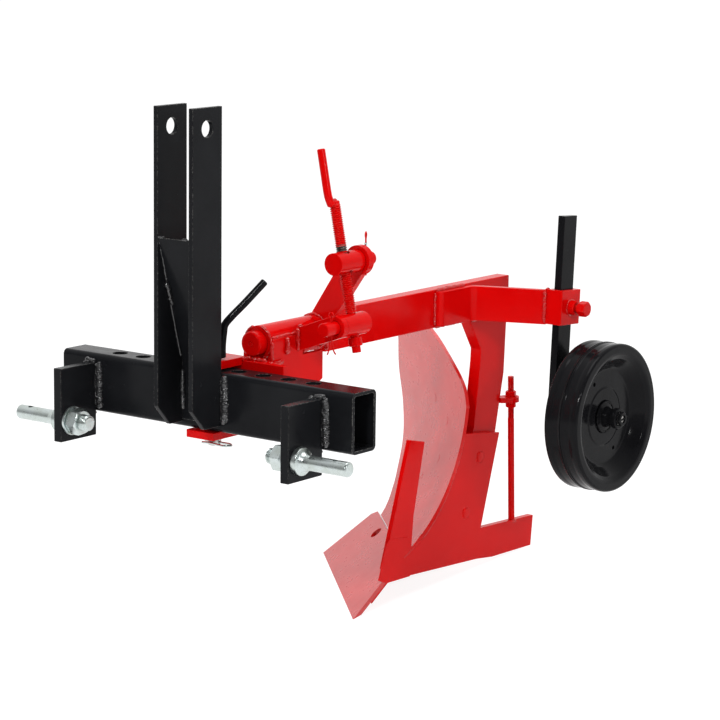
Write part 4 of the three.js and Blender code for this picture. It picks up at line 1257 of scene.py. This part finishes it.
@dataclass
class PloughBody:
    """Share, mouldboard, landside, frog and heel stay, in the body frame."""

    landside: float = 60.0
    share_angle: float = 45.0
    share_slope: float = 37.5
    share_depth: float = 118.0
    board_thickness: float = 6.0
    twist: float = 11.0
    twist_height: float = 200.0
    reach: float = 267.0
    crown: float = 402.0
    shin_top: float = 283.0
    shin_radius: float = 267.0
    shin_centre: Row = (52.5, 326.0)
    leg_right: float = 26.7
    stay: Row = (54.0, 456.0)
    stay_top: float = 307.0
    lug_z: float = 268.0
    columns: int = 72
    rows: int = 84
    foot: float = field(init=False)

    def __post_init__(self) -> None:
        """Finds the height where the mouldboard meets the share."""
        self.foot = self.share_depth * math.sin(math.radians(self.share_slope))

    def build(self) -> None:
        """Builds the plough body."""
        plate("share", Body.BEAM, Slot.SOIL, 0.9)
        self.build_board()
        for node, width in (("landside", 0.8), ("knife_bar", 1.0), ("frog_rib_upper", 1.0),
                            ("frog_rib_lower", 1.0), ("frog_sole", 1.0), ("stay_lug", 1.6)):
            plate(node, Body.BEAM, Slot.RED, width)
        self.build_stay()
        self.build_bolts()
        self.build_nose()
        self.build_welds()

    def board_y(self, x: float, z: float, outset: float = 0.0) -> float:
        """Finds the ruled surface of the mouldboard.

        Args:
            x: Place across.
            z: Height.
            outset: Distance behind the soil face.

        Returns:
            Place along the plough.
        """
        angle = math.radians(self.share_angle
                             + self.twist * (z - self.foot) / self.twist_height)
        radius = self.shin_radius + outset / math.sin(angle)
        rise = z - self.shin_centre[1]
        shin = self.shin_centre[0] + math.sqrt(radius ** 2 - rise ** 2)
        return shin + (self.landside - x) / math.tan(angle)

    def outline(self) -> tuple[list[Row], list[Row]]:
        """Lists the board's outline seen from the front.

        Returns:
            Left and right edges as rows of (z, x), rising.
        """
        wing = self.landside - self.reach
        top = self.crown
        points = [(self.landside, self.shin_top, 0.0),
                  (self.landside - 16, self.shin_top + 30, 0.0),
                  (self.landside - 61, self.shin_top + 67, 0.0),
                  (self.landside - 110, top - 12, 0.0), (self.landside - 150, top, 0.0),
                  (wing + 48, top - 20, 0.0), (wing + 22, top - 60, 0.0),
                  (wing, top - 120, 0.0), (wing + 8, top - 180, 0.0),
                  (wing + 22, top - 230, 0.0), (wing + 36, top - 275, 0.0),
                  (wing + 60, top - 305, 0.0)]
        line = spline(points, 2.0)
        peak = max(range(len(line)), key=lambda i: line[i].y)
        right = [(self.foot - 12, self.landside)] + [(p.y, p.x) for p in line[:peak + 1]]
        left = [(p.y, p.x) for p in line[peak:]] + [(self.foot - 10, wing + 106)]
        return sorted(left), right

    @staticmethod
    def read(rows: Sequence[Row], z: float) -> float:
        """Reads an edge at a height."""
        for (z0, x0), (z1, x1) in zip(rows, rows[1:]):
            if z0 <= z <= z1 and z1 > z0:
                return x0 + (x1 - x0) * (z - z0) / (z1 - z0)
        return rows[-1][1] if z > rows[-1][0] else rows[0][1]

    def build_board(self) -> None:
        """Builds the twisted mouldboard as one fine sheet with eased edges."""
        left, right = self.outline()
        peak = right[-1][0]
        bm = bmesh.new()
        bmesh.ops.create_grid(bm, x_segments=self.columns, y_segments=self.rows, size=1.0)
        for vert in bm.verts:
            across = (vert.co.x + 1) / 2
            up = math.sin((vert.co.y + 1) / 2 * math.pi / 2)
            z = self.foot + 0.25 + (peak - 0.05 - self.foot - 0.25) * up
            x = self.read(left, z) * (1 - across) + self.read(right, z) * across
            vert.co = (x, self.board_y(x, z), z)
        bmesh.ops.remove_doubles(bm, verts=bm.verts[:], dist=1e-3)
        bmesh.ops.recalc_face_normals(bm, faces=bm.faces[:])
        if sum(f.normal.y for f in bm.faces) > 0:
            bmesh.ops.reverse_faces(bm, faces=bm.faces[:])
        low_y = min(v.co.y for v in bm.verts)
        sheet = bm.faces[:]
        bmesh.ops.solidify(bm, geom=sheet, thickness=self.board_thickness - 0.3)
        if min(v.co.y for v in bm.verts) < low_y - 1.0:
            log.warning("mouldboard grew forwards")
        bmesh.ops.recalc_face_normals(bm, faces=bm.faces[:])
        ease(bm, 0.9, 3, 50.0)
        piece(bm, "mouldboard_sheet", Body.BEAM, Slot.SOIL, SOLE, ["mouldboard"])

    def build_stay(self) -> None:
        """Builds the heel stay with its thread, nuts and washers."""
        x, y = self.stay
        nuts = [hexagon(16.5, 8.4, (x, y, self.lug_z + 5.4), UP, bore=11.2, turn=20),
                hexagon(16.5, 8.4, (x, y, self.lug_z - 5.4), (0, 0, -1), bore=11.2, turn=5)]
        washers = [lathe([(0, 5.8), (0, 10.8), (0.8, 10.8), (0.8, 5.8), (0, 5.8)],
                         (x, y, self.lug_z + s * 4.6), (0, 0, s), steps=40)
                   for s in (1, -1)]
        stem = lathe([(52.5, 0), (52.5, 5.5), (self.lug_z - 34, 5.5), (self.lug_z - 33, 5.0),
                      (self.lug_z - 33, 0)], (x, y, 0), UP, steps=32)
        cut = thread((x, y, self.lug_z - 34), (x, y, self.stay_top), 11.0, 1.75, 24)
        piece(gather([stem, cut]), "heel_stay_rod", Body.BEAM, Slot.RED, SOLE,
              ["heel_stay"], sharp=50)
        piece(gather(nuts + washers), "heel_stay_nuts", Body.BEAM, Slot.RED, SOLE, sharp=30)

    def build_bolts(self) -> None:
        """Builds the bolts that hold the landside and the mouldboard to the frog."""
        heads = []
        for y, z in ((355.0, 189.0), (313.0, 102.0)):
            heads.append(lathe([(-0.2, 0), (-0.2, 11.4), (0.5, 11.0), (0.5, 9.6),
                                (-0.1, 9.1), (-0.1, 8.5), (1.3, 8.1), (1.6, 4.0),
                                (1.6, 0)], (self.landside, y, z), ACROSS, 0.2, 48))
            seat = self.leg_right
            heads.append(lathe([(0.1, 7.2), (0.1, 13.5), (2.2, 13.5), (2.2, 7.2), (0.1, 7.2)],
                               (seat, y, z), (-1, 0, 0), steps=40))
            heads.append(hexagon(21.0, 11.5, (seat - 2.3, y, z), (-1, 0, 0), bore=13.6))
            heads.append(thread((seat + 2, y, z), (seat - 17.5, y, z), 13.6, 2.0, 32))
        piece(gather(heads), "landside_bolts", Body.BEAM, Slot.RED, SOLE, sharp=30)
        studs = []
        for x, z in ((-13.0, 180.0), (-9.0, 241.0), (-62.0, 267.0), (-58.0, 141.0)):
            y = self.board_y(x, z)
            ahead = Vector((x - 2, self.board_y(x - 2, z), z)) - Vector((x, y, z))
            above = Vector((x, self.board_y(x, z + 2), z + 2)) - Vector((x, y, z))
            out = ahead.cross(above).normalized()
            out = out if out.y < 0 else -out
            studs.append(lathe([(-1.5, 0), (-1.5, 8.8), (0.12, 8.8), (0.35, 8.2), (0.5, 0)],
                               (x, y, z), tuple(out), 0.3, 48))
            back = Vector((x, y, z)) - out * self.board_thickness
            studs.append(hexagon(18.0, 9.0, tuple(back), tuple(-out), bore=11.4))
            studs.append(thread(tuple(back + out * 2), tuple(back - out * 14), 11.6, 1.75, 24))
        piece(gather(studs), "mouldboard_bolts", Body.BEAM, Slot.SOIL, SOLE, sharp=30)

    def build_nose(self) -> None:
        """Builds the dressed weld that closes the toe between knife, share and landside."""
        corners = [(67.0, 47.2), (78.0, 41.9), (91.0, 37.0), (152.0, 33.0), (196.0, 72.0),
                   (186.0, 96.5), (171.0, 87.5), (158.0, 80.5), (158.5, 90.0),
                   (150.0, 100.0), (98.0, 108.0), (88.0, 98.0)]
        bm = bmesh.new()
        verts = [bm.verts.new((self.landside + 0.05, y, z)) for y, z in corners]
        face = bm.faces.new(verts)
        raised = bmesh.ops.extrude_face_region(bm, geom=[face])["geom"]
        for item in raised:
            if isinstance(item, bmesh.types.BMVert):
                item.co.x += 0.85
        bmesh.ops.recalc_face_normals(bm, faces=bm.faces[:])
        ease(bm, 0.35, 2, 40.0)
        piece(bm, "toe_dressing", Body.BEAM, Slot.RED, SOLE)

    def build_welds(self) -> None:
        """Lays the welds of the frog, the shin and the heel stay."""
        thick = self.board_thickness
        shin = [(self.landside - 0.9, self.board_y(self.landside, z, thick) + 1.0, z)
                for z in range(78, 232, 8)]
        beads = [bead(shin, 3.2, 1, 1.9)]
        for z in (262.0, 272.0, 135.0, 145.0):
            rib = [(x, self.board_y(x, z, thick) + 1.2, z)
                   for x in range(-78, int(self.leg_right) - 8, 8)]
            beads.append(bead(rib, 5.2, z))
        x, y = self.stay
        beads.append(bead(ring((x, y, 54.5), UP, 6.4, 0, 360, 16), 4.4, 9))
        beads.append(bead([(self.landside - 13, 120, 40), (self.landside - 13, 200, 34),
                           (self.landside - 13, 260, 28)], 5.0, 10))
        welds(beads, "body_welds", Body.BEAM, place=SOLE)


@dataclass
class GaugeWheel:
    """Raked post, axle, hub and pressed wheel."""

    post: Row = (190.0, 684.0)
    socket_z: float = 122.5
    rake: float = 3.3
    axle_drop: float = 170.0
    centre_x: float = 274.0
    radius: float = 121.5
    width: float = 62.0
    sheet: float = 3.0
    dish: float = 24.0
    hub_radius: float = 17.0
    hub_half: float = 38.0
    hole_circle: float = 65.0
    hole_diameter: float = 7.0

    def spot(self, x: float, height: float = 0.0) -> Point:
        """Point on the post's raked line.

        Args:
            x: Place across.
            height: Distance above the middle of the socket.

        Returns:
            The point.
        """
        tilt = math.radians(self.rake)
        return (x, self.post[1] + height * math.sin(tilt),
                self.socket_z + height * math.cos(tilt))

    def build(self) -> None:
        """Builds the post, the axle and the wheel."""
        plate("wheel_post", Body.CARRIER, Slot.BLACK, 2.2)
        self.build_axle()
        self.build_hub()
        self.build_half("outer", 1)
        self.build_half("inner", -1)

    def build_axle(self) -> None:
        """Builds the axle with its shoulder, its weld, and its nut with a split pin."""
        centre = self.spot(0, -self.axle_drop)
        end = self.centre_x + self.hub_half + 4
        shaft = lathe([(177, 0), (177, 8.8), (178.2, 10), (196.8, 10), (196.8, 16),
                       (234, 16), (234, 10), (end - 6, 10), (end - 6, 6.4), (end - 0.9, 6.4),
                       (end, 5.4), (end, 0)], centre, ACROSS, round_by=0.8, steps=64)
        piece(shaft, "wheel_axle_turned", Body.CARRIER, Slot.STEEL, IMPLEMENT,
              ["wheel_axle"])
        weld = bead(ring((197.6, centre[1], centre[2]), ACROSS, 17.2, 0, 360, 28), 5.2, 5)
        welds([weld], "axle_weld", Body.CARRIER, Slot.BLACK, finish=BLACK_WELD)
        seat = (end - 3.6, centre[1], centre[2])
        nut = hexagon(21.0, 5.8, seat, ACROSS, bore=12.8, turn=10)
        split = rod([(end + 0.4, centre[1] - 13, centre[2] - 2),
                     (end + 0.4, centre[1], centre[2] - 0.6),
                     (end + 0.4, centre[1] + 12, centre[2] + 3)], 2.6, 0.8, 12)
        piece(gather([nut, split]), "axle_nut", Body.CARRIER, Slot.BLACK, IMPLEMENT,
              sharp=30)

    def build_hub(self) -> None:
        """Builds the hub tube with its flanges and its end rings."""
        centre = self.spot(0, -self.axle_drop)
        x, half, r = self.centre_x, self.hub_half, self.hub_radius
        hub = lathe([(x - half, 10.6), (x - half, r - 1), (x - half + 1, r), (x - 8.4, r),
                     (x - 8.4, r + 8), (x - 7.1, r + 8), (x - 7.1, r), (x + 7.1, r),
                     (x + 7.1, r + 8), (x + 10, r + 7.4), (x + 11, r + 0.2), (x + 20, r - 2.8),
                     (x + half - 11, r - 2.8), (x + half - 9.5, r), (x + half - 1.4, r),
                     (x + half, r - 1.4), (x + half, 10.6), (x - half, 10.6)],
                    centre, ACROSS, round_by=0.7, steps=80)
        seam = bead(ring((x + 9.6, centre[1], centre[2]), ACROSS, r + 7.6, 0, 360, 32),
                    3.6, 4)
        parts = [hub, seam]
        for i in range(3):
            angle = math.radians(30 + 120 * i)
            spot = (x + half - 5.4, centre[1] + (r - 0.4) * math.cos(angle),
                    centre[2] + (r - 0.4) * math.sin(angle))
            parts.append(lathe([(0, 0), (0, 2.6), (1.6, 2.6), (2.2, 1.6), (2.2, 0)], spot,
                               (0, math.cos(angle), math.sin(angle)), 0.3, 24))
        piece(gather(parts), "wheel_hub_turned", Body.WHEEL, Slot.BLACK, IMPLEMENT,
              ["wheel_hub"], sharp=32)

    def build_half(self, side: str, sign: int) -> None:
        """Builds one pressed half of the wheel.

        Args:
            side: Which half, for the names.
            sign: Sign of X from the middle of the tread.
        """
        rib, tread = self.radius, self.radius - 1.5
        edge = self.radius - 0.5
        face = self.width / 2
        dish = face - self.dish
        wall = self.sheet
        bore = self.hub_radius + 0.3
        rows = [
            (0.3, tread - 10), (0.3, rib - 0.7), (0.9, rib), (2.2, rib), (3.0, rib - 0.8),
            (4.0, tread + 0.2), (5.2, tread), (face - 15, tread), (face - 11.5, edge - 0.3),
            (face - 9.5, edge), (face - 4.4, edge), (face - 1.6, edge - 1.0),
            (face, edge - 3.6), (face, edge - 13.5), (face - 0.8, edge - 17.5),
            (face - 4.6, edge - 24.5), (dish + 9, edge - 33), (dish + 3.4, edge - 38.5),
            (dish + 0.4, edge - 43), (dish, edge - 48), (dish, 49), (dish + 0.9, 46),
            (dish + 0.9, 28), (dish, 25.5), (dish, bore), (dish - wall, bore),
            (dish - wall, edge - 44.5), (dish + 1.6, edge - 36), (face - 6.6, edge - 22.2),
            (face - wall, edge - 14.5), (face - wall, edge - 5.5), (face - 5, edge - wall),
            (face - 10, edge - wall), (face - 13, tread - wall), (3.5, tread - wall),
            (2.5, tread - 10), (0.3, tread - 10),
        ]
        centre = self.spot(self.centre_x, -self.axle_drop)
        half = lathe(rows, centre, (sign, 0, 0), round_by=0.9, steps=176)
        for degrees in (119, 299):
            angle = math.radians(degrees)
            y = centre[1] + self.hole_circle * math.cos(angle)
            z = centre[2] + self.hole_circle * math.sin(angle)
            x = centre[0] + sign * dish
            half = drill(half, (x - 6, y, z), (x + 6, y, z), self.hole_diameter, 28)
        piece(half, f"wheel_{side}_pressing", Body.WHEEL, Slot.BLACK, IMPLEMENT,
              [f"wheel_half_{side}"])


# ---------------------------------------------------------------- studio


@dataclass
class Studio:
    """Pale floor, soft lights and the camera."""

    eye: Point = (2590.1, -3049.3, 841.7)
    azimuth: float = 37.0
    elevation: float = 10.4
    roll: float = 0.7
    focal: float = 137.23
    floor_size: float = 14.0
    key_power: float = 34.0
    fill_power: float = 20.0
    rim_power: float = 16.0

    def build(self) -> None:
        """Builds the studio."""
        scene = bpy.context.scene
        scene.view_settings.view_transform = "Standard"
        self.build_camera()
        self.build_floor()
        self.build_world()
        for lamp in (("key_lamp", (-1.0, -3.2, 2.2), 2.4, self.key_power, False),
                     ("side_lamp", (3.2, -1.2, 1.4), 2.2, self.fill_power, False),
                     ("top_lamp", (0.3, 0.2, 3.2), 1.6, self.key_power, True),
                     ("spark_lamp", (0.9, -2.8, 2.4), 0.28, self.key_power, True),
                     ("rim_lamp", (3.0, -0.6, 1.5), 0.28, self.rim_power, True)):
            self.add_lamp(*lamp)

    def build_camera(self) -> None:
        """Places the camera."""
        a, e, r = (math.radians(v) for v in (self.azimuth, self.elevation, self.roll))
        right = Vector((math.cos(a), math.sin(a), 0.0))
        back = Vector((math.sin(a) * math.cos(e), -math.cos(a) * math.cos(e), math.sin(e)))
        up = back.cross(right)
        turned = right * math.cos(r) + up * math.sin(r)
        raised = up * math.cos(r) - right * math.sin(r)
        turn = IMPLEMENT.to_3x3() * (1 / MM)
        matrix = Matrix([turn @ turned, turn @ raised, turn @ back]).transposed().to_4x4()
        matrix.translation = IMPLEMENT @ Vector(self.eye)
        data = bpy.data.cameras.new("camera")
        data.lens = self.focal
        data.sensor_width = 36.0
        camera = bpy.data.objects.new("camera", data)
        camera.matrix_world = matrix
        bpy.context.scene.collection.objects.link(camera)
        bpy.context.scene.camera = camera

    def build_floor(self) -> None:
        """Makes the white floor, which keeps a soft shadow."""
        bm = bmesh.new()
        bmesh.ops.create_circle(bm, cap_ends=True, segments=96, radius=self.floor_size)
        mesh = bpy.data.meshes.new("floor")
        bm.to_mesh(mesh)
        bm.free()
        floor = bpy.data.objects.new("floor", mesh)
        bpy.context.scene.collection.objects.link(floor)
        material = bpy.data.materials.new("white_floor")
        material.use_nodes = True
        tree = material.node_tree
        shader = Shader(tree)
        tree.nodes.remove(tree.nodes["Principled BSDF"])
        cloth = shader.add("BsdfDiffuse", Color=(0.9, 0.9, 0.9, 1.0))
        glow = shader.add("Emission", Strength=1.25)
        mix = shader.add("MixShader")
        path = shader.add("LightPath")
        seen = shader.calculate("MAXIMUM", path.outputs["Is Camera Ray"],
                           path.outputs["Is Glossy Ray"])
        both = shader.calculate("MAXIMUM", seen, path.outputs["Is Transmission Ray"])
        share = shader.ramp(both, 0.0, 1.0, 0.0, 0.7)
        shader.link(share, mix, 0)
        shader.link(cloth.outputs[0], mix, 1)
        shader.link(glow.outputs[0], mix, 2)
        shader.link(mix.outputs[0], tree.nodes["Material Output"], "Surface")
        mesh.materials.append(material)

    def build_world(self) -> None:
        """Makes the white surround, dimmer on the side that the camera stands on."""
        world = bpy.data.worlds.new("studio")
        bpy.context.scene.world = world
        world.use_nodes = True
        tree = world.node_tree
        shader = Shader(tree)
        output = tree.nodes["World Output"]
        wall = tree.nodes["Background"]
        where = shader.add("TexCoord")
        dot = shader.add("VectorMath", operation="DOT_PRODUCT")
        shader.link(where.outputs["Generated"], dot, 0)
        a, e = math.radians(self.azimuth), math.radians(-14.0)
        dot.inputs[1].default_value = (-math.sin(a) * math.cos(e), math.cos(a) * math.cos(e),
                                       math.sin(-e))
        level = shader.ramp(dot.outputs["Value"], -0.35, 0.45, 0.1, 1.0)
        path = shader.add("LightPath")
        shader.link(shader.calculate("MAXIMUM", path.outputs["Is Camera Ray"], level), wall,
                    "Strength")
        wall.inputs["Color"].default_value = (1.0, 1.0, 1.0, 1.0)
        shader.link(wall.outputs[0], output, "Surface")

    def add_lamp(self, name: str, spot: Point, size: float, power: float,
                 mirrored: bool) -> None:
        """Adds a soft square lamp that looks at the plough.

        Args:
            name: Name of the lamp.
            spot: Place, in metres.
            size: Side of the square, in metres.
            power: Power, in watts.
            mirrored: Whether glossy surfaces show it.
        """
        data = bpy.data.lights.new(name, "AREA")
        data.shape = "SQUARE"
        data.size = size
        data.energy = power
        lamp = bpy.data.objects.new(name, data)
        target = Vector((0.0, 0.0, 0.35))
        back = (Vector(spot) - target).normalized()
        lamp.matrix_world = Matrix.Translation(spot) @ back.to_track_quat(
            "Z", "Y").to_matrix().to_4x4()
        lamp.visible_glossy = mirrored
        bpy.context.scene.collection.objects.link(lamp)


def main() -> None:
    """Builds every sub-assembly in order."""
    logging.basicConfig(level=logging.INFO, format="%(name)s: %(message)s")
    for part in (Studio(), Headstock(), Yoke(), TiltLinkage(), BeamAndLeg(), PloughBody(),
                 GaugeWheel()):
        part.build()
        log.info("built %s", type(part).__name__)


if __name__ == "__main__":
    main()
